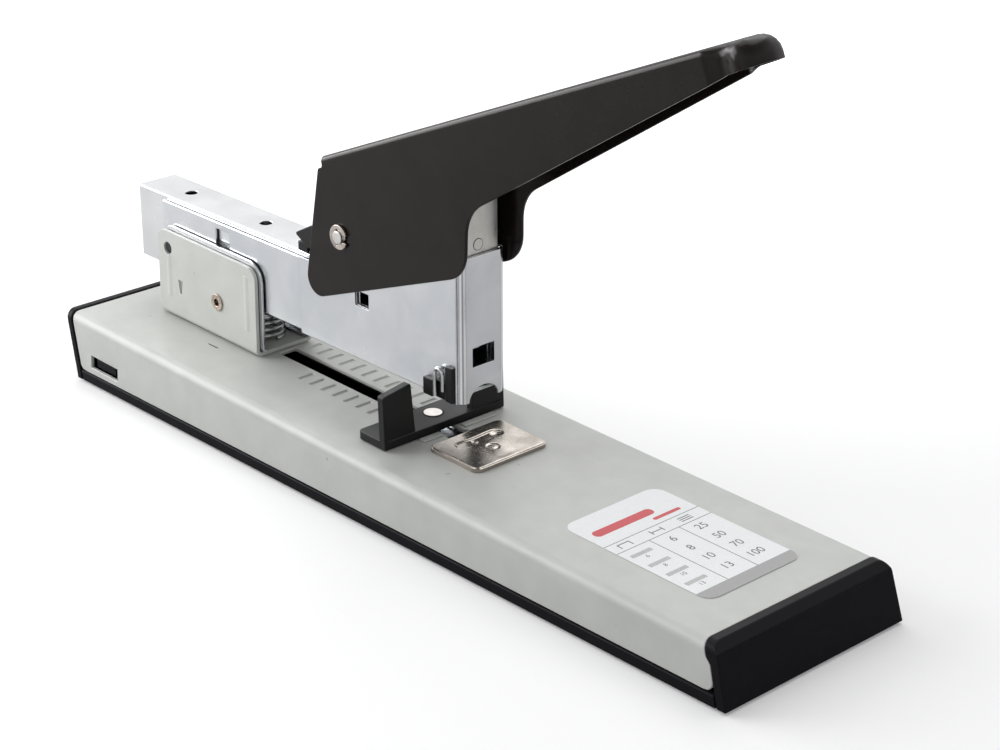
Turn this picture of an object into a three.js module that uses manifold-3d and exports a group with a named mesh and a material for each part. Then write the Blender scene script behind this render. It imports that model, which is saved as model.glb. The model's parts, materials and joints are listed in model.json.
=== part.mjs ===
// A heavy-duty desk stapler: a long steel base, a magazine arm hinged in a bracket, and a press handle.
// Millimetres, +Z up, +X towards the labelled front end, origin on the floor under the middle of the base.
import * as THREE from "three";
import { mergeVertices } from "three/addons/utils/BufferGeometryUtils.js";
import Module from "manifold-3d";

const wasm = await Module();
wasm.setup();

const degree = Math.PI / 180;

// Gaps and cuts
const fit = 0.3; // between neighbouring pieces
const seam = 0.05; // between sheets welded flat to each other
const overrun = 3; // how far a cutting body reaches past what it cuts
const weld = 0.0001; // vertices closer than this are one

// Counts of steps on round shapes
const cornerSteps = 5;
const bendSteps = 4;
const roundSteps = 28;
const pinSteps = 20;

// Base housing
const rearMargin = 21; // from the base's rear end to the bracket
const labelMargin = 21; // from the label to the base's front end
const baseWidth = 68;
const baseRearHeight = 22;
const baseFrontHeight = 17;
const endLean = 16 * degree; // both ends lean back by this
const sideDraft = 1.2; // the top is narrower by this at each side
const baseEdgeRadius = 3;
const coverSheet = 1.2;
const footHeight = 0.8;
const footRadius = 5;
const footInset = 12;
const trayStrip = 3.2; // height of the tray's visible strip
const trayWall = 2.4;
const trayFloor = 1.8;
const trayRibHeight = 5;
const trayRibOffset = 23; // from the middle, to each long rib
const bossRadius = 4;
const baseScrewReach = 8; // how far the boss stands out of the tray floor
const rearLip = 2.5; // seen thickness of the rear cap
const frontLip = 3; // seen thickness of the front cap at its sides
const frontLipStep = 1.6; // how much wider the side lip is near the top
const frontLipStepHeight = 11.6;
const capProud = 0.3; // the caps stand out of the cover by this
const capBevel = 2;
const capPlug = 6; // how far a cap's plug reaches into the cover
const capPlugWall = 1.6;
const coverCornerRadius = 2.4;

// Side windows near the rear, with the tray's snap hooks in them
const windowInset = 13.5; // from the base's rear end
const windowLength = 14.5;
const windowBottom = 6.4;
const windowHeight = 4;
const hookThickness = 3;
const hookInset = 2; // shorter than the window at each end

// Slot and scale on the cover
const slotRear = -70.9;
const slotWidth = 6.2;
const slotCornerRadius = 0.6;
const slotMouthLength = 3.5; // it widens just behind the anvil
const slotMouthWidth = 8;
const frameSlotWidth = 10;
const tickPitch = 5.4;
const tickCount = 12;
const tickNearSkip = 3; // the near row starts this many marks later
const tickFirst = -68.1;
const tickLength = 5.7;
const tickWidth = 1.3;
const tickDepth = 0.4;
const tickNearOffset = 7.6; // middle of the near marks, from the slot's middle
const tickFarOffset = 8.1;

// Label plate
const labelGap = 37.6; // between the anvil and the label
const labelLength = 53.2;
const labelWidth = 35.6;
const labelThickness = 0.3;
const labelCornerRadius = 4;

// Steel frame under the cover
const frameSheet = 1.5;
const frameReach = 2; // past the bracket, to the rear
const frameAnvilReach = 4.8; // past the anvil, to the front
const frameWidth = 34;
const frameFlange = 7.5;

// Bracket that carries the arm, its liner, screws and rivets
const bracketRear = -122;
const bracketLength = 50;
const bracketWidth = 21.6;
const bracketHeight = 28.8; // above the cover
const bracketSheet = 1.2;
const bracketCornerRadius = 4;
const bracketBend = 2;
const ribProud = 0.3;
const ribRadius = 3.9; // the ribs are this round
const ribRearX = -116;
const ribRearTop = 42.6;
const ribFrontX = -76;
const ribFrontTop = 46.4;
const ribBottom = 28.6;
const linerSheet = 0.7;
const linerReach = 1.5; // past the bracket, to the front and the top
const linerCornerRadius = 6;
const linerStrap = 20; // length of the liner's floor, from its rear
const linerRearInset = 2;
const bracketScrewRadius = 1.4;
const bracketScrewHeadRadius = 2.5;
const bracketScrewHeadHeight = 1.4;
const bracketScrewRear = -112;
const bracketScrewFront = -95;
const bracketScrewSpread = 4.5;
const eyeletX = -91.1;
const eyeletZ = 33.7;
const eyeletRadius = 2.7;
const eyeletBarrelRadius = 1.8;
const eyeletBore = 1.2;
const eyeletFlange = 0.4;
const markX = -110.5;
const markZ = 33;
const markTopWidth = 2.3;
const markBottomWidth = 0.8;
const markHeight = 4.5;
const markDepth = 0.5;

// Hinge of the arm
const armPivotX = -116.4;
const armPivotZ = 44.6;
const armStudRadius = 1.8;
const studPlay = 0.08;
const studRecess = 0.5; // from the bracket's face in to the stud's end
const bracketHoleRadius = 2;

// Return spring under the arm
const returnSpringX = -82;
const returnSpringRadius = 5.9; // to the middle of the wire
const returnSpringWire = 1.1;
const returnSpringTurns = 6;

// Staples, their core and the magazine
const stapleWidth = 12.8;
const stapleLeg = 13;
const stapleWire = 0.9;
const stapleStripLength = 61;
const railBottom = 35.2;
const railTop = 58.6;
const railRear = -121.4;
const railSheet = 0.7;
const railPlay = 0.4; // rail to channel, each side
const channelRear = -135.6;
const channelFront = 4;
const channelTop = 60.2;
const channelBottom = 36.6;
const channelSheet = 0.5;
const channelBend = 0.6;
const channelPlay = 0.2; // channel to staples, each side
const channelHoleRadius = 2;
const channelHoleRear = -117.2;
const channelHolePitch = 38.2;
const coreSheet = 0.8;
const coreRear = -112;
const corePlay = 0.3;
const pusherLength = 12;
const pusherClearance = 0.3;
const rodRadius = 1.3;
const rodZ = 54.3;
const rodFront = -30;
const magazineEndLength = 4.5;
const pusherSpringRadius = 2.4;
const pusherSpringWire = 0.6;
const pusherSpringTurns = 20;

// Windows through the side of the rail and the arm frame
const rearWindowX = -94;
const rearWindowLength = 6.9;
const rearWindowZ = 50.1;
const rearWindowHeight = 6.5;
const frontWindowX = -26.3;
const frontWindowLength = 6.1;
const frontWindowZ = 51.3;
const frontWindowHeight = 4.6;
const rearWindowStrip = 2.3; // the channel leaves only this much of the rear window open

// Arm frame and head
const armSheet = 0.6;
const armRear = -52;
const armShoulder = -44.5;
const armShoulderZ = 70;
const armCrown = -38;
const armTop = 77.6;
const armShoulderRise = 59.2;
const armSideInset = 1.7; // the side plates end this far behind the head's front face
const headBottom = 33.8;
const headTop = 77;
const headFront = 19;
const headSheet = 0.9;
const headFlange = 0.7;
const headCornerRadius = 2.1;
const headDropX = 3; // where the frame's lower edge has come down to the head's foot
const headDropLength = 5;
const headWindowWidth = 8;
const headWindowZ = 44.3;
const headWindowHeight = 5.8;
const archWidth = 10.8;
const archRise = 4.3;

// Driver
const bladeThickness = 1;
const bladeTop = 94;
const bladeClearance = 0.3;
const driverTravel = 17.4;
const carrierLength = 9.6;
const carrierBottom = 77.4;
const carrierTop = 95.4;
const carrierSheet = 1.2;
const carrierWidth = 10.8;
const carrierSlotPlay = 0.5;
const driverRivetRadius = 1.6;
const driverRivetZ = 79.7;
const driverRivetY = -0.8;
const driverRivetProud = 0.12;

// Handle, in its own frame: its top line runs along u and depths are below that line
const handlePitch = 22.9 * degree;
const handleTopRearX = -36.5;
const handleTopRearZ = 94.1;
const handleLength = 167; // its top line, to the tip
const handleWidth = 21.6;
const handleSheet = 1;
const handleTopRadius = 1.8;
const plateRearReach = 28;
const plateRearDepth = 38.8;
const plateRearRadius = 5.3;
const topRearReach = 1.8; // the top web starts this far back
const plateRearStep = 4.1;
const plateRearStepDepth = 3;
const plateFrontReach = 47.6;
const plateFrontDepth = 41.8;
const plateFrontRadius = 10;
const neckReach = 55;
const neckDepth = 25.1;
const neckRadius = 12;
const gripRearDepth = 8.8;
const waistDepth = 7.5;
const tipDepth = 6.8;
const gripWidth = 15.2;
const taperReach = 50; // the sides draw in from here to the grip
const waistPinch = 1.6; // how far each side is drawn in at the waist
const waistFromTip = 10.4;
const waistHalfLength = 5.2;
const waistSteps = 8;
const gripTopRadius = 5;
const tipCrown = 0.6;

// Handle hinge, its clips and spring
const handlePivotX = -29.7;
const handlePivotZ = 71.6;
const pivotPinRadius = 2;
const pivotPlay = 0.08;
const pivotPinEnd = 1.4; // how far the pin stands out of the handle
const clipGrooveRadius = 1.45;
const clipRadius = 3.7;
const clipThickness = 0.8;
const clipMouth = 2.2;
const clipHollow = 1;
const bushRadius = 3;
const handleSpringRadius = 4.3;
const handleSpringWire = 1.5;
const handleSpringTurns = 5;
const handleSpringLeg = 15;

// Drive link between the handle and the driver
const drivePinX = 9.2;
const drivePinZ = 91;
const drivePinRadius = 1.5;
const lugSheet = 1.2;
const lugGap = 0.4; // lug to carrier, each side
const lugHalfWidth = 2.6;
const lugTopLength = 16;

// Release latch behind the handle
const latchPivotX = -40.2;
const latchPivotZ = 66;
const latchPinRadius = 1.2;
const latchTipX = -54.8;
const latchTipZ = 65.5;
const latchTopZ = 69.7;
const latchCrestX = -47;
const latchUnderZ = 62.2;
const latchToothX = -53.3;
const latchToothLength = 4.4;
const latchFront = -36.8;

// Throat spring and its holder on the near side of the head
const throatRear = 5.2;
const throatBlockLength = 3.9;
const throatBlockTop = 39.4;
const throatBottom = 34.3;
const throatLegTop = 44.9;
const throatLegLength = 2.9;
const throatFrontX = 16.9;
const throatDepth = 1.75;
const throatBack = 0.5;
const throatSpringSheet = 0.6;
const throatSpringTop = 44.1;
const throatSpringBottom = 35;
const throatSpringStep = 2.2; // its front leg is shorter by this

// Anvil
const anvilLength = 20.8;
const anvilWidth = 27.6;
const anvilThickness = 1.2;
const anvilBevel = 1.3;
const anvilCornerRadius = 2.5;
const anvilFromDriver = 3.5; // plate's middle in front of the driver
const anvilGrooveLength = 17.5;
const anvilGrooveWidth = 4.4;
const anvilGrooveDepth = 0.5;
const anvilPadLength = 6.4;
const anvilPadWidth = 2.6;
const anvilPadDepth = 0.35;
const anvilPadOffset = 4.4;
const anvilRivetRadius = 1.9;
const anvilRivetShank = 1.3;
const anvilRivetForward = 2;
const anvilBlockInset = 3;

// Paper guide
const guideFront = 3.7;
const guideLength = 12;
const guideNear = 23.7; // from the slot's middle to each end
const guideFar = 21.8;
const guideThickness = 2.5;
const guideNearInner = 12.1; // from the slot's middle to each post's foot
const guideFarInner = 9.15;
const guidePostTaper = 1.2; // how much narrower a post is at its top
const guidePostThickness = 2.4;
const guidePostHeight = 16.4; // at its outer edge
const guidePostRise = 1.6; // how much taller it is at its inner edge
const guidePostLean = 0.05; // rearwards, for each unit of height
const guideCornerRadius = 1.6;
const guideRivetRadius = 2.8;
const guideRivetHead = 0.5;
const guideRivetShank = 2;
const guideRivetBack = 6.7; // behind the guide's front edge
const guideClampLength = 12;
const guideClampWidth = 16;
const guideClampThickness = 1.6;

// Ranges of motion
const armTravel = 5.2 * degree;
const handleTravel = 23.7 * degree;

// Sizes that follow from the ones above
const coverBottom = footHeight + trayStrip + fit;
const leanRatio = Math.tan(endLean);
const frameTop = -coverSheet - fit;
const frameBottom = frameTop - frameSheet;
const channelInner = stapleWidth / 2 + channelPlay;
const channelOuter = channelInner + channelSheet;
const railInner = channelOuter + railPlay;
const railOuter = railInner + railSheet;
const armInner = railOuter + seam;
const armOuter = armInner + armSheet;
const headOuter = armInner - seam;
const headInner = headOuter - headFlange;
const linerInner = railOuter + fit + channelPlay;
const linerOuter = linerInner + linerSheet;
const bracketInner = bracketWidth / 2 - bracketSheet;
const handleInner = handleWidth / 2 - handleSheet;
const waistMiddle = handleLength - waistFromTip;
const waistRear = waistMiddle - waistHalfLength;
const waistEnd = waistMiddle + waistHalfLength; // the grip's corners start here
const handleRearEnd = -plateRearReach - overrun;
const railFloorTop = railBottom + railSheet;
const armBottom = railBottom - seam - armSheet;
const coreOuter = stapleWidth / 2 - stapleWire - corePlay;
const stapleTop = railFloorTop + channelPlay + stapleLeg + stapleWire;
const headInnerX = headFront - headSheet;
const bladeFront = headInnerX - bladeClearance;
const bladeRear = bladeFront - bladeThickness;
const railFront = bladeRear - fit - headSheet;
const armFront = railFront - fit;
const armSideFront = headFront - armSideInset;
const driverX = (bladeFront + bladeRear) / 2;
const bladeBottom = stapleTop + fit;
const anvilX = driverX + anvilFromDriver;
const anvilRearX = anvilX - anvilLength / 2;
const anvilFrontX = anvilX + anvilLength / 2;
const labelRear = anvilFrontX + labelGap;
const frameRear = bracketRear - frameReach;
const frameFront = anvilFrontX + frameAnvilReach;
const rearEnd = bracketRear - rearMargin;
const frontEnd = labelRear + labelLength + labelMargin;
const baseLength = frontEnd - rearEnd;
const windowRear = rearEnd + windowInset;
const topRun = baseLength - baseFrontHeight * leanRatio;
const topSlope = Math.atan2(baseRearHeight - baseFrontHeight, topRun);
const topAt = (x) => baseRearHeight - (x - rearEnd) * Math.tan(topSlope);
const rearFaceAt = (z) => rearEnd + (baseRearHeight + capProud - z) * leanRatio;
const frontFaceAt = (z) => frontEnd - (z - footHeight) * leanRatio;
const stripRear = railFront - stapleStripLength;
const guideRivetX = guideFront - guideRivetBack;

// The top of the base slopes down to the front: a point in the part's frame, in the cover's own frame
const toTop = (x, z) => {
  const rise = z - topAt(0);
  return [
    x * Math.cos(topSlope) - rise * Math.sin(topSlope),
    x * Math.sin(topSlope) + rise * Math.cos(topSlope),
  ];
};

// A point in the part's frame, in the handle's own frame
const toHandle = (x, z) => {
  const along = x - handleTopRearX;
  const rise = z - handleTopRearZ;
  return [
    along * Math.cos(handlePitch) + rise * Math.sin(handlePitch),
    rise * Math.cos(handlePitch) - along * Math.sin(handlePitch),
  ];
};

// A closed geometry as a solid that can be joined and cut
const solid = (geometry) => {
  const bare = geometry.clone();
  bare.deleteAttribute("normal");
  bare.deleteAttribute("uv");
  const merged = mergeVertices(bare, weld);
  return new wasm.Manifold(
    new wasm.Mesh({
      numProp: 3,
      vertProperties: Float32Array.from(merged.attributes.position.array),
      triVerts: Uint32Array.from(merged.index.array),
    }),
  );
};

// A solid as a geometry again
const geometryOf = (body) => {
  const made = body.getMesh();
  const geometry = new THREE.BufferGeometry();
  geometry.setAttribute("position", new THREE.BufferAttribute(made.vertProperties, made.numProp));
  geometry.setIndex(new THREE.BufferAttribute(made.triVerts, 1));
  return geometry;
};

const joined = (...bodies) => bodies.reduce((sum, body) => sum.add(body));
const cut = (body, ...tools) => tools.reduce((left, tool) => left.subtract(tool), body);

// Rounds the corners of an outline; each corner is [a, b, radius]
function rounded(corners, stepCount = cornerSteps) {
  const points = [];
  corners.forEach(([a, b, radius = 0], index) => {
    const here = new THREE.Vector2(a, b);
    if (radius === 0) {
      points.push(here);
      return;
    }
    const last = corners[(index + corners.length - 1) % corners.length];
    const next = corners[(index + 1) % corners.length];
    const back = new THREE.Vector2(last[0], last[1]).sub(here).normalize();
    const ahead = new THREE.Vector2(next[0], next[1]).sub(here).normalize();
    const half = Math.acos(THREE.MathUtils.clamp(back.dot(ahead), -1, 1)) / 2;
    const reach = radius / Math.tan(half);
    const middle = back.clone().add(ahead).normalize().multiplyScalar(radius / Math.sin(half)).add(here);
    const start = here.clone().addScaledVector(back, reach).sub(middle);
    const end = here.clone().addScaledVector(ahead, reach).sub(middle);
    const turn = Math.atan2(start.cross(end), start.dot(end));
    for (let step = 0; step <= stepCount; step++) {
      points.push(start.clone().rotateAround(new THREE.Vector2(), (turn * step) / stepCount).add(middle));
    }
  });
  return points;
}

const rectangle = (a0, a1, b0, b1, radius = 0) => [
  [a0, b0, radius],
  [a1, b0, radius],
  [a1, b1, radius],
  [a0, b1, radius],
];

const extruded = (points, depth) =>
  new THREE.ExtrudeGeometry(new THREE.Shape(points), { depth, bevelEnabled: false, steps: 1 });

// An outline in x and z, run along y; in x and y, run along z; and in y and z, run along x
const alongY = (points, y0, y1) => solid(extruded(points, y1 - y0).rotateX(Math.PI / 2).translate(0, y1, 0));
const alongZ = (points, z0, z1) => solid(extruded(points, z1 - z0).translate(0, 0, z0));
const sideBasis = new THREE.Matrix4().makeBasis(
  new THREE.Vector3(0, 1, 0),
  new THREE.Vector3(0, 0, 1),
  new THREE.Vector3(1, 0, 0),
);
const alongX = (points, x0, x1) => solid(extruded(points, x1 - x0).applyMatrix4(sideBasis).translate(x0, 0, 0));

const block = (x0, x1, y0, y1, z0, z1) =>
  solid(
    new THREE.BoxGeometry(x1 - x0, y1 - y0, z1 - z0).translate((x0 + x1) / 2, (y0 + y1) / 2, (z0 + z1) / 2),
  );

// Round bars along each axis
const barZ = (x, y, radius, z0, z1, stepCount = pinSteps) =>
  solid(
    new THREE.CylinderGeometry(radius, radius, z1 - z0, stepCount)
      .rotateX(Math.PI / 2)
      .translate(x, y, (z0 + z1) / 2),
  );
const barY = (x, z, radius, y0, y1, stepCount = pinSteps) =>
  solid(new THREE.CylinderGeometry(radius, radius, y1 - y0, stepCount).translate(x, (y0 + y1) / 2, z));
const barX = (y, z, radius, x0, x1, stepCount = pinSteps) =>
  solid(
    new THREE.CylinderGeometry(radius, radius, x1 - x0, stepCount)
      .rotateZ(Math.PI / 2)
      .translate((x0 + x1) / 2, y, z),
  );

// The same body at both sides of the middle plane
const mirroredY = (make) => [1, -1].map(make);
const sideName = (side) => (side > 0 ? "far" : "near");

// A bar along y at one side of the middle plane, between two distances from it
const sideBar = (side, x, z, radius, near, far, stepCount = pinSteps) =>
  barY(x, z, radius, Math.min(side * near, side * far), Math.max(side * near, side * far), stepCount);

// A bent sheet: a channel's section in y and z. It opens downward, or upward where flip is -1
function channelSection(half, sheet, web, edge, bend, flip = 1) {
  const outer = rounded(
    [
      [-half, edge],
      [half, edge],
      [half, web, bend],
      [-half, web, bend],
    ],
    bendSteps,
  );
  const inner = rounded(
    [
      [-half + sheet, edge - flip * overrun],
      [half - sheet, edge - flip * overrun],
      [half - sheet, web - flip * sheet, Math.max(bend - sheet, weld)],
      [-half + sheet, web - flip * sheet, Math.max(bend - sheet, weld)],
    ],
    bendSteps,
  );
  return { outer: orient(outer), inner: orient(inner) };
}

// An outline turned to run counter-clockwise
const orient = (points) => (THREE.ShapeUtils.isClockWise(points) ? [...points].reverse() : points);

const channelAlongX = (section, x0, x1) =>
  alongX(section.outer, x0, x1).subtract(alongX(section.inner, x0 - overrun, x1 + overrun));

// A wound spring as one unbroken tube. place turns (angle, height) into the middle of the wire
const springSides = 5;
const springStepsPerTurn = 8;

function coil({ name, radius, wire, turns, length }) {
  const stepCount = turns * springStepsPerTurn;
  const rise = length - wire;
  const middles = [];
  const frames = [];
  for (let step = 0; step <= stepCount; step++) {
    const angle = (step / springStepsPerTurn) * 2 * Math.PI;
    const outward = new THREE.Vector3(Math.cos(angle), Math.sin(angle), 0);
    middles.push(outward.clone().multiplyScalar(radius).setZ(wire / 2 + (rise * step) / stepCount));
    frames.push(outward);
  }
  // The ends run straight for one wire diameter
  const firstWay = middles[0].clone().sub(middles[1]).setZ(0).normalize();
  const lastWay = middles[stepCount].clone().sub(middles[stepCount - 1]).setZ(0).normalize();
  middles.unshift(middles[0].clone().addScaledVector(firstWay, wire));
  frames.unshift(frames[0]);
  middles.push(middles[middles.length - 1].clone().addScaledVector(lastWay, wire));
  frames.push(frames[frames.length - 1]);
  printLeastGap(name, middles, wire, springStepsPerTurn);
  return tube(middles, frames, wire / 2);
}

// The least gap of a wound wire to itself, measured on its points
function printLeastGap(name, middles, wire, stepsPerTurn) {
  let least = Infinity;
  for (let one = 0; one < middles.length; one++) {
    for (let other = one + stepsPerTurn / 2; other < middles.length; other++) {
      least = Math.min(least, middles[one].distanceTo(middles[other]) - wire);
    }
  }
  console.log(`${name}: least gap to itself ${least.toFixed(2)} mm`);
}

// A tube round a list of middles, each with its outward way
function tube(middles, frames, radius) {
  const positions = [];
  const index = [];
  const count = middles.length;
  middles.forEach((middle, at) => {
    const before = middles[Math.max(at - 1, 0)];
    const after = middles[Math.min(at + 1, count - 1)];
    const way = after.clone().sub(before).normalize();
    const side = frames[at].clone().addScaledVector(way, -frames[at].dot(way)).normalize();
    const up = new THREE.Vector3().crossVectors(way, side);
    for (let corner = 0; corner < springSides; corner++) {
      const angle = (corner / springSides) * 2 * Math.PI;
      const point = middle
        .clone()
        .addScaledVector(side, radius * Math.cos(angle))
        .addScaledVector(up, radius * Math.sin(angle));
      positions.push(point.x, point.y, point.z);
    }
  });
  for (let at = 0; at < count - 1; at++) {
    for (let corner = 0; corner < springSides; corner++) {
      const next = (corner + 1) % springSides;
      const a = at * springSides + corner;
      const b = at * springSides + next;
      index.push(a, b, b + springSides, a, b + springSides, a + springSides);
    }
  }
  for (let corner = 1; corner < springSides - 1; corner++) {
    index.push(0, corner + 1, corner);
    const last = (count - 1) * springSides;
    index.push(last, last + corner, last + corner + 1);
  }
  const geometry = new THREE.BufferGeometry();
  geometry.setAttribute("position", new THREE.Float32BufferAttribute(positions, 3));
  geometry.setIndex(index);
  return geometry;
}

// A body through rings of equal count, lowest first, closed at both ends by the triangles of capOf
function lofted(rings, capOf) {
  const count = rings[0].length;
  const positions = rings.flat().flatMap((p) => [p.x, p.y, p.z]);
  const index = [];
  for (let level = 0; level < rings.length - 1; level++) {
    for (let at = 0; at < count; at++) {
      const a = level * count + at;
      const b = level * count + ((at + 1) % count);
      index.push(a, b, b + count, a, b + count, a + count);
    }
  }
  const last = (rings.length - 1) * count;
  capOf(rings[0]).forEach(([a, b, c]) => index.push(c, b, a));
  capOf(rings[rings.length - 1]).forEach(([a, b, c]) => index.push(last + a, last + b, last + c));
  const geometry = new THREE.BufferGeometry();
  geometry.setAttribute("position", new THREE.Float32BufferAttribute(positions, 3));
  geometry.setIndex(index);
  return solid(geometry);
}

// Closes a ring with few corners
const plainCap = (ring) =>
  THREE.ShapeUtils.triangulateShape(
    ring.map((p) => new THREE.Vector2(p.x, p.y)),
    [],
  );

// Closes a ring whose first half mirrors its second half
function mirroredCap(ring) {
  const count = ring.length;
  const triangles = [];
  for (let near = 0; near < count / 2 - 1; near++) {
    const far = count - 1 - near;
    if (near + 1 < far - 1) triangles.push([near, near + 1, far - 1]);
    triangles.push([near, far - 1, far]);
  }
  return triangles;
}

// Materials
const finish = (color, roughness, metalness) => new THREE.MeshStandardMaterial({ color, roughness, metalness });
const greyPaint = () => finish("#c4c6c0", 0.45, 0.1);
const blackPlastic = () => finish("#1d1c1f", 0.5, 0);
const blackPaint = () => finish("#332f31", 0.42, 0.2);
const zincSteel = () => finish("#c9ccd2", 0.32, 0.9);
const bareSteel = () => finish("#b3afa8", 0.36, 0.95);
const nickel = () => finish("#cdc5bd", 0.25, 0.95);
const copper = () => finish("#b0785f", 0.35, 0.9);
const springSteel = () => finish("#bfc1c4", 0.25, 0.95);
const rubber = () => finish("#222222", 0.9, 0);
const labelStock = () => finish("#e2e4e5", 0.55, 0);

// Groups: the base and the arm lie square, the cover's group follows the sloping top
const stapler = new THREE.Group();
const square = new THREE.Group();
const top = new THREE.Group();
top.position.set(0, 0, topAt(0));
top.rotation.y = topSlope;
const handleGroup = new THREE.Group();
handleGroup.position.set(handleTopRearX, 0, handleTopRearZ);
handleGroup.rotation.y = -handlePitch;
stapler.add(square, top, handleGroup);

const place = (group, name, shape, material) => {
  const geometry = shape.isBufferGeometry ? shape : geometryOf(shape);
  const mesh = new THREE.Mesh(geometry, material);
  mesh.name = name;
  group.add(mesh);
  return mesh;
};

// The base's section in y and height below the top, drawn in by inset
function baseSection(inset) {
  const deep = baseRearHeight + overrun;
  const halfTop = baseWidth / 2 - sideDraft - inset;
  const halfDeep = halfTop + (sideDraft * deep) / baseRearHeight;
  return rounded([
    [-halfDeep, -deep],
    [halfDeep, -deep],
    [halfTop, -inset, Math.max(baseEdgeRadius - inset, 0)],
    [-halfTop, -inset, Math.max(baseEdgeRadius - inset, 0)],
  ]);
}

const baseBody = (inset) => alongX(baseSection(inset), -baseLength, baseLength);
const baseSlice = (corners) =>
  alongY(orient(rounded(corners.map(([x, z, radius]) => [...toTop(x, z), radius]))), -baseWidth, baseWidth);

// The line where the cover meets the front cap, moved back by gap
const lipLine = (gap, low, high) => [
  [frontFaceAt(low) - frontLip - gap, low],
  [frontFaceAt(frontLipStepHeight) - frontLip - gap, frontLipStepHeight],
  [frontFaceAt(frontLipStepHeight) - frontLip - frontLipStep - gap, frontLipStepHeight + frontLipStep],
  [frontFaceAt(high) - frontLip - frontLipStep - gap, high],
];

const slotOutline = (x0, x1, width) => rounded(rectangle(x0, x1, -width / 2, width / 2, slotCornerRadius));

const screwPlaces = [bracketScrewRear, bracketScrewFront].flatMap((x) =>
  mirroredY((side) => [x, side * bracketScrewSpread]),
);

function makeCover() {
  const above = baseRearHeight + overrun;
  const shell = baseBody(0).subtract(alongX(baseSection(coverSheet), -baseLength - overrun, baseLength + overrun));
  const lips = lipLine(fit, coverBottom, above);
  lips[0].push(coverCornerRadius);
  const slice = baseSlice([
    [rearFaceAt(coverBottom) + rearLip + fit, coverBottom, coverCornerRadius],
    ...lips,
    [rearFaceAt(above) + rearLip + fit, above],
  ]);
  const slot = alongZ(slotOutline(slotRear, anvilX, slotWidth), -overrun, overrun);
  const slotMouth = alongZ(slotOutline(anvilRearX - slotMouthLength, anvilX, slotMouthWidth), -overrun, overrun);
  const anvilHole = block(
    anvilX - anvilLength / 2 + anvilBevel,
    anvilX + anvilLength / 2 - anvilBevel,
    -anvilWidth / 2 + anvilBevel,
    anvilWidth / 2 - anvilBevel,
    -overrun,
    overrun,
  );
  const screwHoles = screwPlaces.map(([x, y]) => barZ(x, y, bracketScrewRadius + fit, -overrun, overrun));
  const ticks = [];
  const tickRows = [
    [tickNearSkip, -tickNearOffset],
    [0, tickFarOffset],
  ];
  for (const [first, y] of tickRows) {
    for (let at = first; at < tickCount; at++) {
      const x = tickFirst + at * tickPitch;
      const mark = rectangle(x - tickWidth / 2, x + tickWidth / 2, y - tickLength / 2, y + tickLength / 2);
      ticks.push(alongZ(rounded(mark), -tickDepth, overrun));
    }
  }
  return cut(shell.intersect(slice), slot, slotMouth, anvilHole, ...screwHoles, ...ticks, sideWindows());
}

// The windows in both long sides, in the cover's frame
function sideWindows() {
  const [x, z] = toTop(windowRear, windowBottom);
  return block(x, x + windowLength, -baseWidth, baseWidth, z, z + windowHeight);
}

// A cap at one end of the base: its skin, and the plug that fits inside the cover
function makeFrontCap() {
  const low = footHeight;
  const above = baseFrontHeight + overrun;
  const bevelZ = baseFrontHeight - capBevel;
  const skin = baseBody(-capProud).intersect(
    baseSlice([
      [frontFaceAt(low), low],
      [frontFaceAt(bevelZ), bevelZ],
      [frontFaceAt(bevelZ) - capBevel - overrun, baseFrontHeight + overrun],
      ...lipLine(0, low, above).reverse(),
    ]),
  );
  const plugBottom = coverBottom + fit;
  const plug = baseBody(coverSheet + fit)
    .subtract(baseBody(coverSheet + fit + capPlugWall))
    .intersect(
      baseSlice([
        [frontFaceAt(plugBottom) - frontLip - weld, plugBottom],
        [frontFaceAt(above) - frontLip - frontLipStep - weld, above],
        [frontFaceAt(above) - frontLip - capPlug, above],
        [frontFaceAt(plugBottom) - frontLip - capPlug, plugBottom],
      ]),
    );
  return joined(skin, plug);
}

function makeRearCap() {
  const low = footHeight;
  const above = baseRearHeight + overrun;
  const skin = baseBody(-capProud).intersect(
    baseSlice([
      [rearFaceAt(low), low],
      [rearFaceAt(above), above],
      [rearFaceAt(above) + rearLip, above],
      [rearFaceAt(low) + rearLip, low],
    ]),
  );
  const plugBottom = coverBottom + fit;
  const plug = baseBody(coverSheet + fit)
    .subtract(baseBody(coverSheet + fit + capPlugWall))
    .intersect(
      baseSlice([
        [rearFaceAt(plugBottom) + rearLip - weld, plugBottom],
        [rearFaceAt(above) + rearLip - weld, above],
        [rearFaceAt(above) + rearLip + capPlug, above],
        [rearFaceAt(plugBottom) + rearLip + capPlug, plugBottom],
      ]),
    );
  return joined(skin, plug);
}

const footPlaces = [rearEnd + 2 * footInset, frontEnd - 2 * footInset].flatMap((x) =>
  mirroredY((side) => [x, side * (baseWidth / 2 - footInset)]),
);

// Bosses stand inboard of the feet, under the steel frame
const bossPlaces = [frameRear + footInset, frameFront - footInset].flatMap((x) =>
  mirroredY((side) => [x, side * (frameWidth / 2 - bossRadius - frameSheet - fit)]),
);

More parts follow.
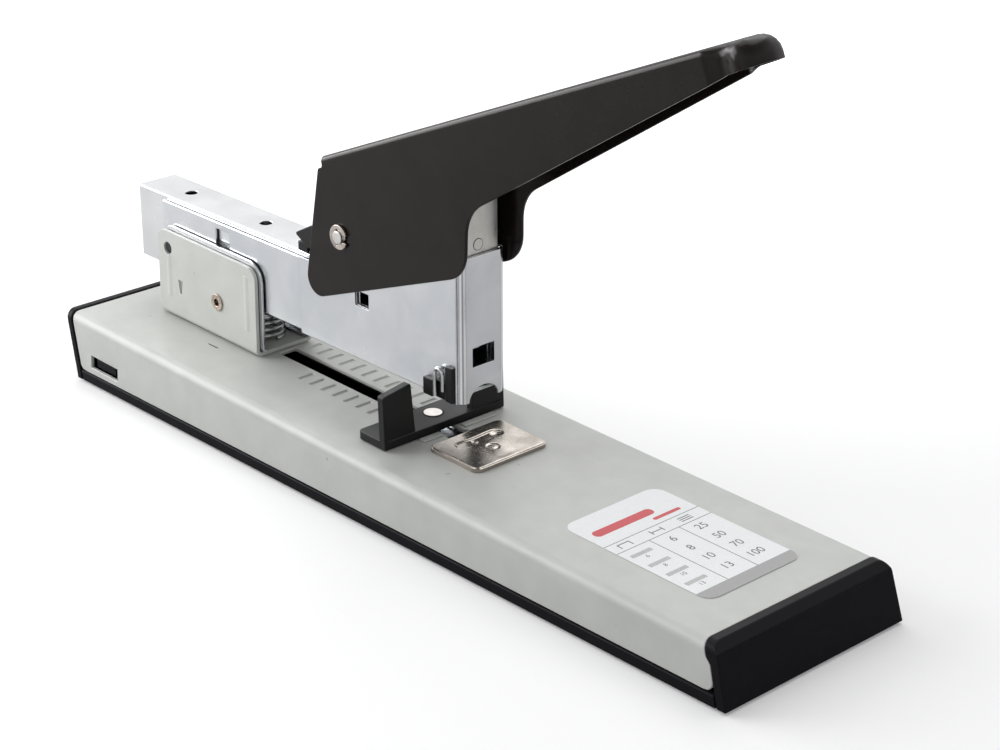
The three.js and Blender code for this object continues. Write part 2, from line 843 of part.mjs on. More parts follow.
function makeTray() {
  const low = footHeight;
  const high = footHeight + trayStrip;
  const outline = [
    [rearFaceAt(low) + rearLip + fit, low],
    [frontFaceAt(low) - frontLip - fit, low],
    [frontFaceAt(high) - frontLip - fit, high],
    [rearFaceAt(high) + rearLip + fit, high],
  ];
  const body = alongY(orient(rounded(outline)), -baseWidth / 2, baseWidth / 2);
  const floorTop = low + trayFloor;
  const pocket = block(
    rearFaceAt(low) + rearLip + trayWall,
    frontFaceAt(high) - frontLip - trayWall,
    -baseWidth / 2 + trayWall,
    baseWidth / 2 - trayWall,
    floorTop,
    high + overrun,
  );
  const ribs = mirroredY((side) =>
    block(
      frameRear,
      frontFaceAt(high) - frontLip - trayWall - capPlug,
      side * trayRibOffset - trayWall / 2,
      side * trayRibOffset + trayWall / 2,
      floorTop - weld,
      floorTop + trayRibHeight,
    ),
  );
  const bosses = bossPlaces.map(([x, y]) => barZ(x, y, bossRadius, floorTop - weld, floorTop + baseScrewReach));
  const holes = bossPlaces.map(([x, y]) => barZ(x, y, bracketScrewRadius + fit, -overrun, baseRearHeight));
  const sinks = bossPlaces.map(([x, y]) =>
    barZ(x, y, bracketScrewHeadRadius + fit, -overrun, low + bracketScrewHeadHeight + fit),
  );
  return cut(joined(body.subtract(pocket), ...ribs, ...bosses, ...makeHooks()), ...holes, ...sinks);
}

function makeFrame() {
  const plate = block(frameRear, frameFront, -frameWidth / 2, frameWidth / 2, frameBottom, frameTop);
  const flanges = mirroredY((side) =>
    block(
      frameRear,
      frameFront,
      (side * frameWidth) / 2 - (side > 0 ? frameSheet : 0),
      (side * frameWidth) / 2 + (side > 0 ? 0 : frameSheet),
      frameTop - frameFlange,
      frameTop - weld,
    ),
  );
  const slot = alongZ(slotOutline(slotRear - slotWidth, anvilRearX, frameSlotWidth), frameBottom - overrun, 0);
  const holes = [...screwPlaces, [anvilX + anvilRivetForward, 0]].map(([x, y]) =>
    barZ(x, y, bracketScrewRadius + fit, frameBottom - overrun, 0),
  );
  const bossHoles = bossPlaces.map(([x, y]) => barZ(x, y, bracketScrewRadius + fit, frameBottom - overrun, 0));
  return cut(joined(plate, ...flanges), slot, ...holes, ...bossHoles);
}

// A screw from below: head in the tray, shank up through the boss into the frame
function makeBaseScrew([x, y]) {
  const headBase = footHeight + fit;
  return joined(
    barZ(x, y, bracketScrewHeadRadius, headBase, headBase + bracketScrewHeadHeight),
    barZ(x, y, bracketScrewRadius, headBase, topAt(x) + frameTop - fit),
  );
}

function makeLabel() {
  const outline = rectangle(labelRear, labelRear + labelLength, -labelWidth / 2, labelWidth / 2, labelCornerRadius);
  return alongZ(rounded(outline), fit, fit + labelThickness);
}

function makeAnvilPlate() {
  const outlineAt = (inset) =>
    rounded(
      rectangle(
        anvilX - anvilLength / 2 + inset,
        anvilX + anvilLength / 2 - inset,
        -anvilWidth / 2 + inset,
        anvilWidth / 2 - inset,
        anvilCornerRadius,
      ),
    );
  const levels = [
    [0, fit],
    [0, fit + anvilThickness - anvilBevel / 2],
    [anvilBevel, fit + anvilThickness],
  ];
  const body = lofted(
    levels.map(([inset, height]) => outlineAt(inset).map((p) => new THREE.Vector3(p.x, p.y, height))),
    plainCap,
  );
  const surface = fit + anvilThickness;
  const groove = alongZ(
    rounded(
      rectangle(
        driverX - anvilGrooveWidth / 2,
        driverX + anvilGrooveWidth / 2,
        -anvilGrooveLength / 2,
        anvilGrooveLength / 2,
        anvilGrooveWidth / 2 - weld,
      ),
    ),
    surface - anvilGrooveDepth,
    surface + overrun,
  );
  const pads = mirroredY((side) =>
    alongZ(
      rounded(
        rectangle(
          driverX - anvilPadWidth / 2,
          driverX + anvilPadWidth / 2,
          side * anvilPadOffset - anvilPadLength / 2,
          side * anvilPadOffset + anvilPadLength / 2,
          anvilPadWidth / 2 - weld,
        ),
      ),
      surface - anvilGrooveDepth - anvilPadDepth,
      surface + overrun,
    ),
  );
  const rivetHole = barZ(anvilX + anvilRivetForward, 0, anvilRivetRadius + fit / 2, -overrun, surface + overrun);
  return cut(body, groove, ...pads, rivetHole);
}

function makeAnvilBlock() {
  const body = block(
    anvilX - anvilLength / 2 + anvilBlockInset,
    anvilX + anvilLength / 2 - anvilBlockInset,
    -anvilWidth / 2 + anvilBlockInset,
    anvilWidth / 2 - anvilBlockInset,
    frameTop + fit,
    0,
  );
  return body.subtract(barZ(anvilX + anvilRivetForward, 0, anvilRivetShank + fit, -overrun * 2, overrun));
}

function makeAnvilRivet() {
  const x = anvilX + anvilRivetForward;
  const headTop = fit + anvilThickness + fit / 2;
  return joined(
    barZ(x, 0, anvilRivetRadius, fit, headTop),
    barZ(x, 0, anvilRivetShank, frameBottom - anvilThickness, fit + weld),
    barZ(x, 0, anvilRivetRadius, frameBottom - fit - anvilThickness, frameBottom - fit),
  );
}

// Holes of the hinge studs and eyelets through a side wall, in the cover's frame
function sideHoles(studRadius, rivetRadius) {
  const [studX, studZ] = toTop(armPivotX, armPivotZ);
  const [rivetX, rivetZ] = toTop(eyeletX, eyeletZ);
  return [
    barY(studX, studZ, studRadius, -baseWidth, baseWidth),
    barY(rivetX, rivetZ, rivetRadius, -baseWidth, baseWidth),
  ];
}

function makeBracket() {
  const floor = fit;
  const front = bracketRear + bracketLength;
  const section = channelSection(bracketWidth / 2, bracketSheet, floor, bracketHeight + overrun, bracketBend, -1);
  const side = rounded([
    [bracketRear, floor - overrun],
    [front, floor - overrun],
    [front, bracketHeight, bracketCornerRadius],
    [bracketRear, bracketHeight, bracketCornerRadius],
  ]);
  const body = channelAlongX(section, bracketRear - overrun, front + overrun).intersect(
    alongY(side, -bracketWidth, bracketWidth),
  );
  // Long soft ribs stand out of each side, and a small wedge is pressed in
  const half = bracketWidth / 2;
  const skin = mirroredY((side) => {
    const y = [side * (half - bracketSheet / 2), side * (half + overrun)];
    return block(bracketRear, front, Math.min(...y), Math.max(...y), 0, bracketHeight);
  });
  const ribs = [
    [ribRearX, ribRearTop],
    [ribFrontX, ribFrontTop],
  ].flatMap(([x, ribTop]) => {
    const [ribX, high] = toTop(x, ribTop);
    const low = toTop(x, ribBottom)[1];
    return [1, -1].map((side, at) =>
      barZ(ribX, side * (half + ribProud - ribRadius), ribRadius, low, high, roundSteps).intersect(skin[at]),
    );
  });
  const [wedgeX, wedgeZ] = toTop(markX, markZ);
  const wedge = orient(
    [
      [wedgeX - markBottomWidth / 2, wedgeZ - markHeight / 2],
      [wedgeX + markBottomWidth / 2, wedgeZ - markHeight / 2],
      [wedgeX + markTopWidth / 2, wedgeZ + markHeight / 2],
      [wedgeX - markTopWidth / 2, wedgeZ + markHeight / 2],
    ].map(([x, z]) => new THREE.Vector2(x, z)),
  );
  const marks = [alongY(wedge, half - markDepth, half + overrun), alongY(wedge, -half - overrun, markDepth - half)];
  const screwHoles = screwPlaces.map(([x, y]) => barZ(x, y, bracketScrewRadius + fit, -overrun, overrun));
  return cut(
    joined(body, ...ribs),
    ...marks,
    ...screwHoles,
    ...sideHoles(bracketHoleRadius, eyeletBarrelRadius + fit / 2),
  );
}

function makeLiner() {
  const floor = fit + bracketSheet + fit;
  const rear = bracketRear + linerRearInset;
  const front = bracketRear + bracketLength + linerReach;
  const high = bracketHeight + linerReach;
  const section = channelSection(linerOuter, linerSheet, floor, high + overrun, bracketBend - linerSheet, -1);
  const side = rounded([
    [rear, floor - overrun],
    [front, floor - overrun],
    [front, high, linerCornerRadius],
    [rear, high, bracketCornerRadius],
  ]);
  const body = channelAlongX(section, rear - overrun, front + overrun).intersect(alongY(side, -baseWidth, baseWidth));
  const openFloor = block(
    rear + linerStrap,
    front + overrun,
    -linerInner + linerSheet,
    linerInner - linerSheet,
    floor - overrun,
    floor + overrun,
  );
  const screwHoles = screwPlaces.map(([x, y]) => barZ(x, y, bracketScrewRadius + fit, -overrun, overrun * 2));
  return cut(body, openFloor, ...screwHoles, ...sideHoles(armStudRadius + studPlay, eyeletBarrelRadius + fit / 2));
}

function makeEyelet(side) {
  const [x, z] = toTop(eyeletX, eyeletZ);
  const outside = bracketWidth / 2 + fit / 2;
  return cut(
    joined(
      sideBar(side, x, z, eyeletBarrelRadius, linerInner + fit / 2, outside + weld),
      sideBar(side, x, z, eyeletRadius, outside, outside + eyeletFlange),
    ),
    sideBar(side, x, z, eyeletBore, 0, baseWidth),
  );
}

// Screws on the bracket's floor, into the frame; the rear pair also holds the liner's strap
const screwSeat = (x) => (x === bracketScrewRear ? fit + bracketSheet + fit + linerSheet : fit + bracketSheet);

function makeBracketScrew([x, y]) {
  const seat = screwSeat(x) + fit;
  return joined(
    barZ(x, y, bracketScrewHeadRadius, seat, seat + bracketScrewHeadHeight),
    barZ(x, y, bracketScrewRadius, frameBottom - bracketScrewHeadHeight, seat + weld),
  );
}

// Hooks on the tray that spring into the cover's side windows
function makeHooks() {
  const [x] = toTop(windowRear, windowBottom);
  return mirroredY((side) => {
    const inner = baseWidth / 2 - sideDraft / 2 - coverSheet - fit - hookThickness;
    const stem = [inner, inner + hookThickness - sideDraft / 2];
    const nose = [inner, baseWidth / 2 - sideDraft / 2 - coverSheet / 2];
    const span = ([near, far], z0, z1) =>
      block(
        x + hookInset,
        x + windowLength - hookInset,
        Math.min(side * near, side * far),
        Math.max(side * near, side * far),
        z0,
        z1,
      );
    return joined(
      span(stem, footHeight + trayFloor - weld, windowBottom + windowHeight - fit),
      span(nose, windowBottom + fit * 2, windowBottom + windowHeight - fit * 2),
    );
  });
}

place(top, "base_cover", makeCover(), greyPaint());
place(top, "front_cap", makeFrontCap(), blackPlastic());
place(top, "rear_cap", makeRearCap(), blackPlastic());
place(square, "base_tray", makeTray(), blackPlastic());
const cornerNames = ["rear_far", "rear_near", "front_far", "front_near"];
footPlaces.forEach(([x, y], at) =>
  place(square, `foot_${cornerNames[at]}`, barZ(x, y, footRadius, 0, footHeight, roundSteps), rubber()),
);
bossPlaces.forEach((spot, at) => place(square, `base_screw_${cornerNames[at]}`, makeBaseScrew(spot), bareSteel()));
place(top, "base_frame", makeFrame(), zincSteel());
place(top, "label_plate", makeLabel(), labelStock());
place(top, "anvil_plate", makeAnvilPlate(), nickel());
place(top, "anvil_block", makeAnvilBlock(), bareSteel());
place(top, "anvil_rivet", makeAnvilRivet(), nickel());
place(top, "bracket", makeBracket(), greyPaint());
place(top, "bracket_liner", makeLiner(), zincSteel());
mirroredY((side) => place(top, `eyelet_${sideName(side)}`, makeEyelet(side), copper()));
screwPlaces.forEach((spot, at) =>
  place(top, `bracket_screw_${cornerNames[at]}`, makeBracketScrew(spot), bareSteel()),
);

// Return spring between the bracket's floor and the arm
const returnSpringFoot = topAt(returnSpringX) + fit + bracketSheet + fit;
const returnSpring = coil({
  name: "return_spring",
  radius: returnSpringRadius,
  wire: returnSpringWire,
  turns: returnSpringTurns,
  length: railBottom - fit - returnSpringFoot,
});
returnSpring.translate(returnSpringX, 0, returnSpringFoot);
place(square, "return_spring", returnSpring, springSteel());

// Windows through the arm's side walls; the channel leaves a strip of the rear one open
const rearWindow = (height) =>
  block(rearWindowX, rearWindowX + rearWindowLength, -baseWidth, baseWidth, rearWindowZ, rearWindowZ + height);
const frontWindow = () =>
  block(
    frontWindowX,
    frontWindowX + frontWindowLength,
    -baseWidth,
    baseWidth,
    frontWindowZ,
    frontWindowZ + frontWindowHeight,
  );

function makeRail() {
  const section = channelSection(railOuter, railSheet, railBottom, railTop, railSheet + weld, -1);
  const studs = barY(armPivotX, armPivotZ, armStudRadius + studPlay, -baseWidth, baseWidth);
  const body = alongX(section.outer, railRear, railFront).subtract(
    alongX(section.inner, railRear - overrun, railFront + overrun),
  );
  return cut(body, studs, rearWindow(rearWindowHeight), frontWindow());
}

function makeArmFrame() {
  const section = channelSection(armOuter, armSheet, armBottom, armTop + overrun, armSheet + weld, -1);
  const channel = channelAlongX(section, armRear - overrun, armSideFront + overrun);
  const lowerWalls = mirroredY((side) =>
    block(
      headDropX,
      armSideFront,
      side > 0 ? armInner : -armOuter,
      side > 0 ? armOuter : -armInner,
      headBottom,
      armBottom + armSheet,
    ),
  );
  const outline = rounded([
    [armRear, armBottom],
    [headDropX - headDropLength, armBottom, headDropLength],
    [headDropX, headBottom, headDropLength / 2],
    [armSideFront, headBottom],
    [armSideFront, headTop],
    [armCrown + headDropLength, armTop],
    [armCrown, armTop, headDropLength / 2],
    [armShoulder, armShoulderZ, headDropLength / 2],
    [armShoulder, armShoulderRise],
    [armRear, armShoulderRise],
  ]);
  const body = joined(channel, ...lowerWalls).intersect(alongY(outline, -baseWidth, baseWidth));
  const betweenSides = block(
    armFront,
    armSideFront + overrun,
    -armInner,
    armInner,
    headBottom - overrun,
    headTop + overrun,
  );
  return cut(
    body,
    barY(handlePivotX, handlePivotZ, pivotPinRadius + pivotPlay, -baseWidth, baseWidth),
    barY(latchPivotX, latchPivotZ, latchPinRadius + pivotPlay, -baseWidth, baseWidth),
    frontWindow(),
    betweenSides,
  );
}

function makeHeadPlate() {
  const rear = railFront + fit;
  const outline = (half, front, radius, back) =>
    rounded([
      [back, -half],
      [front, -half, radius],
      [front, half, radius],
      [back, half],
    ]);
  const outer = alongZ(outline(headOuter, headFront, headCornerRadius, rear), headBottom, headTop);
  const inner = alongZ(
    outline(headInner, headInnerX, headCornerRadius - headFlange, rear - overrun),
    headBottom - overrun,
    headTop + overrun,
  );
  const opening = block(
    headInnerX - overrun,
    headFront + overrun,
    -headWindowWidth / 2,
    headWindowWidth / 2,
    headWindowZ,
    headWindowZ + headWindowHeight,
  );
  const archPoints = [];
  for (let step = 0; step <= 2 * cornerSteps; step++) {
    const angle = (Math.PI * step) / (2 * cornerSteps);
    archPoints.push(
      new THREE.Vector2((archWidth / 2) * Math.cos(angle), headBottom + archRise * Math.sin(angle)),
    );
  }
  archPoints.push(new THREE.Vector2(-archWidth / 2, headBottom - overrun));
  archPoints.push(new THREE.Vector2(archWidth / 2, headBottom - overrun));
  const arch = alongX(orient(archPoints), headInnerX - overrun, headFront + overrun);
  return cut(outer, inner, opening, arch);
}

// The arm hangs on two studs, so that the channel can slide between them
const makeStud = (side) =>
  sideBar(side, armPivotX, armPivotZ, armStudRadius, railInner + weld, bracketWidth / 2 - studRecess);

function makeChannel() {
  const section = channelSection(channelOuter, channelSheet, channelTop, channelBottom, channelBend);
  const body = channelAlongX(section, channelRear, channelFront);
  const holes = [0, 1].map((index) =>
    barZ(channelHoleRear + index * channelHolePitch, 0, channelHoleRadius, channelTop - overrun, channelTop + overrun),
  );
  return cut(body, ...holes, rearWindow(rearWindowStrip), frontWindow());
}

function makeCore() {
  const coreTop = stapleTop - stapleWire - corePlay;
  const section = channelSection(coreOuter, coreSheet, coreTop, railFloorTop, coreSheet + weld);
  return channelAlongX(section, coreRear, railFront);
}

function makeStrip() {
  const half = stapleWidth / 2;
  const section = channelSection(half, stapleWire, stapleTop, stapleTop - stapleLeg - stapleWire, stapleWire + weld);
  return channelAlongX(section, stripRear, railFront);
}

function makePusher() {
  const front = stripRear - pusherClearance;
  const half = channelInner - fit;
  const body = block(front - pusherLength, front, -half, half, railFloorTop + fit, rodZ + pusherSpringRadius);
  const saddle = block(
    front - pusherLength - overrun,
    front + overrun,
    -coreOuter - corePlay,
    coreOuter + corePlay,
    railBottom - overrun,
    stapleTop - stapleWire,
  );
  return cut(body, saddle, barX(0, rodZ, rodRadius + fit, front - pusherLength - overrun, front + overrun));
}

const magazineEndFront = channelRear + fit + magazineEndLength;

function makeMagazineEnd() {
  const half = channelInner - fit;
  const body = block(
    channelRear + fit,
    magazineEndFront,
    -half,
    half,
    channelBottom + fit,
    channelTop - channelSheet - fit,
  );
  return body.subtract(
    barX(0, rodZ, rodRadius + fit / 2, magazineEndFront - magazineEndLength / 2, magazineEndFront + overrun),
  );
}

place(square, "magazine_rail", makeRail(), zincSteel());
place(square, "arm_frame", makeArmFrame(), zincSteel());
place(square, "head_plate", makeHeadPlate(), zincSteel());
mirroredY((side) => place(square, `hinge_stud_${sideName(side)}`, makeStud(side), bareSteel()));
place(square, "inner_channel", makeChannel(), zincSteel());
place(square, "staple_core", makeCore(), zincSteel());
place(square, "staple_strip", makeStrip(), springSteel());
place(square, "pusher", makePusher(), blackPlastic());
place(square, "magazine_end", makeMagazineEnd(), blackPlastic());
place(
  square,
  "pusher_rod",
  barX(0, rodZ, rodRadius, magazineEndFront - magazineEndLength / 2 + fit, rodFront),
  springSteel(),
);

const pusherRear = stripRear - pusherClearance - pusherLength;
const pusherSpring = coil({
  name: "pusher_spring",
  radius: pusherSpringRadius,
  wire: pusherSpringWire,
  turns: pusherSpringTurns,
  length: pusherRear - fit - magazineEndFront - fit,
});
pusherSpring.applyMatrix4(sideBasis);
pusherSpring.translate(magazineEndFront + fit, 0, rodZ);
place(square, "pusher_spring", pusherSpring, springSteel());

// Driver
function makeBlade() {
  const half = stapleWidth / 2;
  const body = block(bladeRear, bladeFront, -half, half, bladeBottom, bladeTop);
  const rivetHole = barX(driverRivetY, driverRivetZ, driverRivetRadius + weld, bladeRear - overrun, bladeFront + overrun);
  return body.subtract(rivetHole);
}

const carrierRear = bladeRear - carrierLength;

function makeCarrier() {
  const half = carrierWidth / 2;
  const body = block(carrierRear, bladeRear, -half, half, carrierBottom, carrierTop);
  const hollow = block(
    carrierRear - overrun,
    bladeRear - carrierSheet,
    -half + carrierSheet,
    half - carrierSheet,
    carrierBottom - overrun,
    carrierTop + overrun,
  );
  const slotFront = bladeRear - carrierSheet;
  const slot = alongY(
    rounded(
      rectangle(
        carrierRear - overrun,
        slotFront,
        drivePinZ - drivePinRadius - carrierSlotPlay,
        drivePinZ + drivePinRadius + carrierSlotPlay,
      ),
    ),
    -baseWidth,
    baseWidth,
  );
  const rivetHole = barX(driverRivetY, driverRivetZ, driverRivetRadius + weld, slotFront - overrun, bladeFront);
  return cut(body, hollow, slot, rivetHole);
}

place(square, "driver_blade", makeBlade(), bareSteel());
place(square, "driver_carrier", makeCarrier(), bareSteel());
place(
  square,
  "driver_rivet",
  barX(driverRivetY, driverRivetZ, driverRivetRadius, bladeRear - carrierSheet, bladeFront + driverRivetProud),
  bareSteel(),
);

// Handle: how far the waist and the grip have come in, at a place along it
const waistShare = (along) => {
  const fromMiddle = Math.min(Math.abs(along - waistMiddle) / waistHalfLength, 1);
  return (1 + Math.cos(Math.PI * fromMiddle)) / 2;
};
const gripShare = (along) => THREE.MathUtils.smoothstep(along, waistRear, waistEnd);
const handleHalf = (along) => {
  const taperShare = THREE.MathUtils.clamp((along - taperReach) / (waistEnd - taperReach), 0, 1);
  return THREE.MathUtils.lerp(handleWidth, gripWidth, taperShare) / 2 - waistPinch * waistShare(along);
};

// The handle's plan outline, drawn in by inset, as [point, radius of the top edge there]
function handlePlan(inset) {
  const straight = [handleRearEnd, handleRearEnd / 2, taperReach, waistRear];
  const side = straight.map((along) => [along, handleHalf(along)]);
  for (let step = 1; step < waistSteps; step++) {
    const along = THREE.MathUtils.lerp(waistRear, waistEnd, step / waistSteps);
    side.push([along, handleHalf(along)]);
  }
  const corner = handleLength - waistEnd;
  for (let step = 0; step <= cornerSteps; step++) {
    const angle = (Math.PI / 2) * (step / cornerSteps);
    side.push([
      waistEnd + corner * Math.sin(angle) - tipCrown * Math.sin(angle),
      gripWidth / 2 - corner * (1 - Math.cos(angle)),
    ]);
  }
  side.push([handleLength, 0]);
  const right = side.map(([along, y]) => new THREE.Vector2(along, -y));
  const left = side.slice(0, -1).reverse().map(([along, y]) => new THREE.Vector2(along, y));
  const points = [...right, ...left];
  return points.map((point, at) => {
    const atRear = at === 0 || at === points.length - 1;
    const before = atRear ? point : points[at - 1];
    const after = atRear ? points[at === 0 ? 1 : at - 1] : points[at + 1];
    const way = after.clone().sub(before).normalize();
    if (at === points.length - 1) way.negate();
    const inward = new THREE.Vector2(-way.y, way.x);
    const edge = THREE.MathUtils.lerp(handleTopRadius, gripTopRadius, gripShare(point.x));
    return { at: point.clone().addScaledVector(inward, inset), inward, edge: edge - inset };
  });
}

// The handle's block, drawn in by inset all round, from deep below its top line
function handleBody(inset, deep) {
  const plan = handlePlan(inset);
  const rings = [plan.map(({ at }) => new THREE.Vector3(at.x, at.y, deep))];
  for (let step = 0; step <= cornerSteps; step++) {
    const angle = (step / cornerSteps) * (Math.PI / 2);
    rings.push(
      plan.map(({ at, inward, edge }) => {
        const drawn = at.clone().addScaledVector(inward, edge * (1 - Math.cos(angle)));
        return new THREE.Vector3(drawn.x, drawn.y, -inset - edge * (1 - Math.sin(angle)));
      }),
    );
  }
  return lofted(rings, mirroredCap);
}

// The side plates' outline, in the handle's frame
const handleSide = () => [
  [-topRearReach, overrun],
  [-topRearReach, -plateRearStepDepth, handleSheet],
  [-plateRearStep, -plateRearStepDepth, handleSheet],
  [-plateRearReach, -plateRearDepth, plateRearRadius],
  [plateFrontReach, -plateFrontDepth, plateFrontRadius],
  [neckReach, -neckDepth, neckRadius],
  [waistRear, -gripRearDepth],
  [waistMiddle, -waistDepth],
  [handleLength + overrun, -tipDepth],
  [handleLength + overrun, overrun],
];

function makeHandle() {
  const deep = -plateFrontDepth - overrun;
  const rearClear = block(
    handleRearEnd - overrun,
    handleRearEnd / 2,
    -handleInner,
    handleInner,
    deep - overrun,
    -handleSheet,
  );
  const side = alongY(orient(rounded(handleSide(), cornerSteps * 2)), -handleWidth, handleWidth);
  const [pinU, pinW] = toHandle(handlePivotX, handlePivotZ);
  return cut(
    handleBody(0, deep)
      .subtract(handleBody(handleSheet, deep - overrun))
      .subtract(rearClear)
      .intersect(side),
    barY(pinU, pinW, pivotPinRadius + pivotPlay, -baseWidth, baseWidth),
  );
}

place(handleGroup, "handle", makeHandle(), blackPaint());

// The drive lug hangs from the handle's web and carries the drive pin
function makeLug() {
  const [pinU, pinW] = toHandle(drivePinX, drivePinZ);
  const webUnder = -handleSheet - fit;
  const inside = carrierWidth / 2 + lugGap;
  const cheeks = mirroredY((side) => {
    const y = [side * inside, side * (inside + lugSheet)];
    const bar = block(pinU - lugHalfWidth, pinU + lugHalfWidth, Math.min(...y), Math.max(...y), pinW, webUnder);
    return joined(bar, barY(pinU, pinW, lugHalfWidth, Math.min(...y), Math.max(...y)));
  });
  const foot = block(
    pinU - lugTopLength / 2,
    pinU + lugTopLength / 2,
    -inside - lugSheet,
    inside + lugSheet,
    webUnder - lugSheet,
    webUnder,
  );
  return cut(joined(foot, ...cheeks), barY(pinU, pinW, drivePinRadius + pivotPlay, -baseWidth, baseWidth));
}

const lugOuter = carrierWidth / 2 + lugGap + lugSheet;
place(handleGroup, "drive_lug", makeLug(), bareSteel());
place(
  square,
  "drive_pin",
  barY(drivePinX, drivePinZ, drivePinRadius, -lugOuter - fit / 2, lugOuter + fit / 2),
  bareSteel(),
);

// Handle hinge: pin with a groove at each end, a clip in each groove
const clipInside = handleWidth / 2 + fit / 2;

function makePivotPin() {
  const end = handleWidth / 2 + pivotPinEnd;
  const grooves = mirroredY((side) => {
    const y = [side * (clipInside - fit / 4), side * (clipInside + clipThickness + fit / 4)];
    return barY(handlePivotX, handlePivotZ, pivotPinRadius + overrun, Math.min(...y), Math.max(...y)).subtract(
      barY(handlePivotX, handlePivotZ, clipGrooveRadius, Math.min(...y) - overrun, Math.max(...y) + overrun),
    );
  });
  return cut(barY(handlePivotX, handlePivotZ, pivotPinRadius, -end, end), ...grooves);
}

// A spring clip: a ring open at the front, with a hollow beside each prong
function makeClip(side) {
  const bar = (x, z, radius, stepCount) =>
    sideBar(side, x, z, radius, clipInside, clipInside + clipThickness, stepCount);
  const through = (x, z, radius) => sideBar(side, x, z, radius, clipInside - overrun, clipInside + overrun);
  const y = [side * (clipInside - overrun), side * (clipInside + overrun)];
  const mouth = block(
    handlePivotX,
    handlePivotX + clipRadius + overrun,
    Math.min(...y),
    Math.max(...y),
    handlePivotZ - clipMouth / 2,
    handlePivotZ + clipMouth / 2,
  );
  const hollows = [-1, 1].map((turn) =>
    through(handlePivotX - clipHollow / 2, handlePivotZ + turn * (clipGrooveRadius + clipHollow / 2), clipHollow / 2),
  );
  return cut(
    bar(handlePivotX, handlePivotZ, clipRadius, roundSteps),
    through(handlePivotX, handlePivotZ, clipGrooveRadius + fit / 2),
    mouth,
    ...hollows,
  );
}

place(square, "handle_pivot_pin", makePivotPin(), springSteel());
mirroredY((side) => place(square, `pivot_clip_${sideName(side)}`, makeClip(side), nickel()));
place(
  square,
  "pivot_bush",
  barY(handlePivotX, handlePivotZ, bushRadius, -railOuter + fit, railOuter - fit).subtract(
    barY(handlePivotX, handlePivotZ, pivotPinRadius + pivotPlay, -baseWidth, baseWidth),
  ),
  bareSteel(),
);

const handleSpringLength = 2 * (railOuter - fit * 4);
const handleSpring = coil({
  name: "handle_spring",
  radius: handleSpringRadius,
  wire: handleSpringWire,
  turns: handleSpringTurns,
  length: handleSpringLength,
});
handleSpring.rotateX(Math.PI / 2).translate(handlePivotX, handleSpringLength / 2, handlePivotZ);
place(square, "handle_spring", handleSpring, springSteel());

// Release latch
function makeLatch() {
  const half = railOuter - fit;
  const outline = rounded([
    [latchTipX, latchTipZ, armSheet],
    [latchToothX + latchToothLength, latchUnderZ],
    [latchFront, latchUnderZ, latchPinRadius],
    [latchFront, latchTopZ, latchPinRadius],
    [latchCrestX, latchTopZ, armSheet],
  ]);
  const tooth = block(
    latchToothX,
    latchToothX + latchToothLength,
    -half,
    half,
    channelTop + fit,
    latchUnderZ + latchPinRadius,
  );
  return joined(alongY(orient(outline), -half, half), tooth).subtract(
    barY(latchPivotX, latchPivotZ, latchPinRadius + pivotPlay, -baseWidth, baseWidth),
  );
}

place(square, "release_latch", makeLatch(), blackPlastic());
place(square, "latch_pin", barY(latchPivotX, latchPivotZ, latchPinRadius, -armOuter, armOuter), bareSteel());

// Throat spring and holder, on the near side of the head
const throatInner = -armOuter;
const throatOuter = throatInner - throatDepth;

function makeThroatHolder() {
  const rearBlock = block(
    throatRear,
    throatRear + throatBlockLength,
    throatOuter,
    throatInner,
    throatBottom,
    throatBlockTop,
  );
  const back = block(throatRear, throatFrontX, throatInner - throatBack, throatInner, throatBottom, throatBlockTop);
  const leg = block(
    throatFrontX - throatLegLength,
    throatFrontX,
    throatOuter + throatBack,
    throatInner,
    throatBottom,
    throatLegTop,
  );
  return joined(rearBlock, back, leg);
}

function makeThroatSpring() {
  const x0 = throatRear + throatBlockLength + fit;
  const x1 = throatFrontX - throatLegLength - fit;
  const bend = (x1 - x0) / 2 - weld;
  const outer = rounded([
    [x0, throatSpringBottom],
    [x1, throatSpringBottom],
    [x1, throatSpringTop, bend],
    [x0, throatSpringTop, bend],
  ]);
  const inner = rounded([
    [x0 + throatSpringSheet, throatSpringBottom - overrun],
    [x1 - throatSpringSheet, throatSpringBottom - overrun],
    [x1 - throatSpringSheet, throatSpringTop - throatSpringSheet, bend - throatSpringSheet],
    [x0 + throatSpringSheet, throatSpringTop - throatSpringSheet, bend - throatSpringSheet],
  ]);
  const y0 = throatOuter;
  const y1 = throatInner - throatBack - fit;
  const legEnd = block(
    (x0 + x1) / 2,
    x1 + overrun,
    y0 - overrun,
    y1 + overrun,
    throatSpringBottom - overrun,
    throatSpringBottom + throatSpringStep,
  );
  return cut(alongY(outer, y0, y1), alongY(inner, y0 - overrun, y1 + overrun), legEnd);
}

place(square, "throat_holder", makeThroatHolder(), blackPlastic());
place(square, "throat_spring", makeThroatSpring(), springSteel());

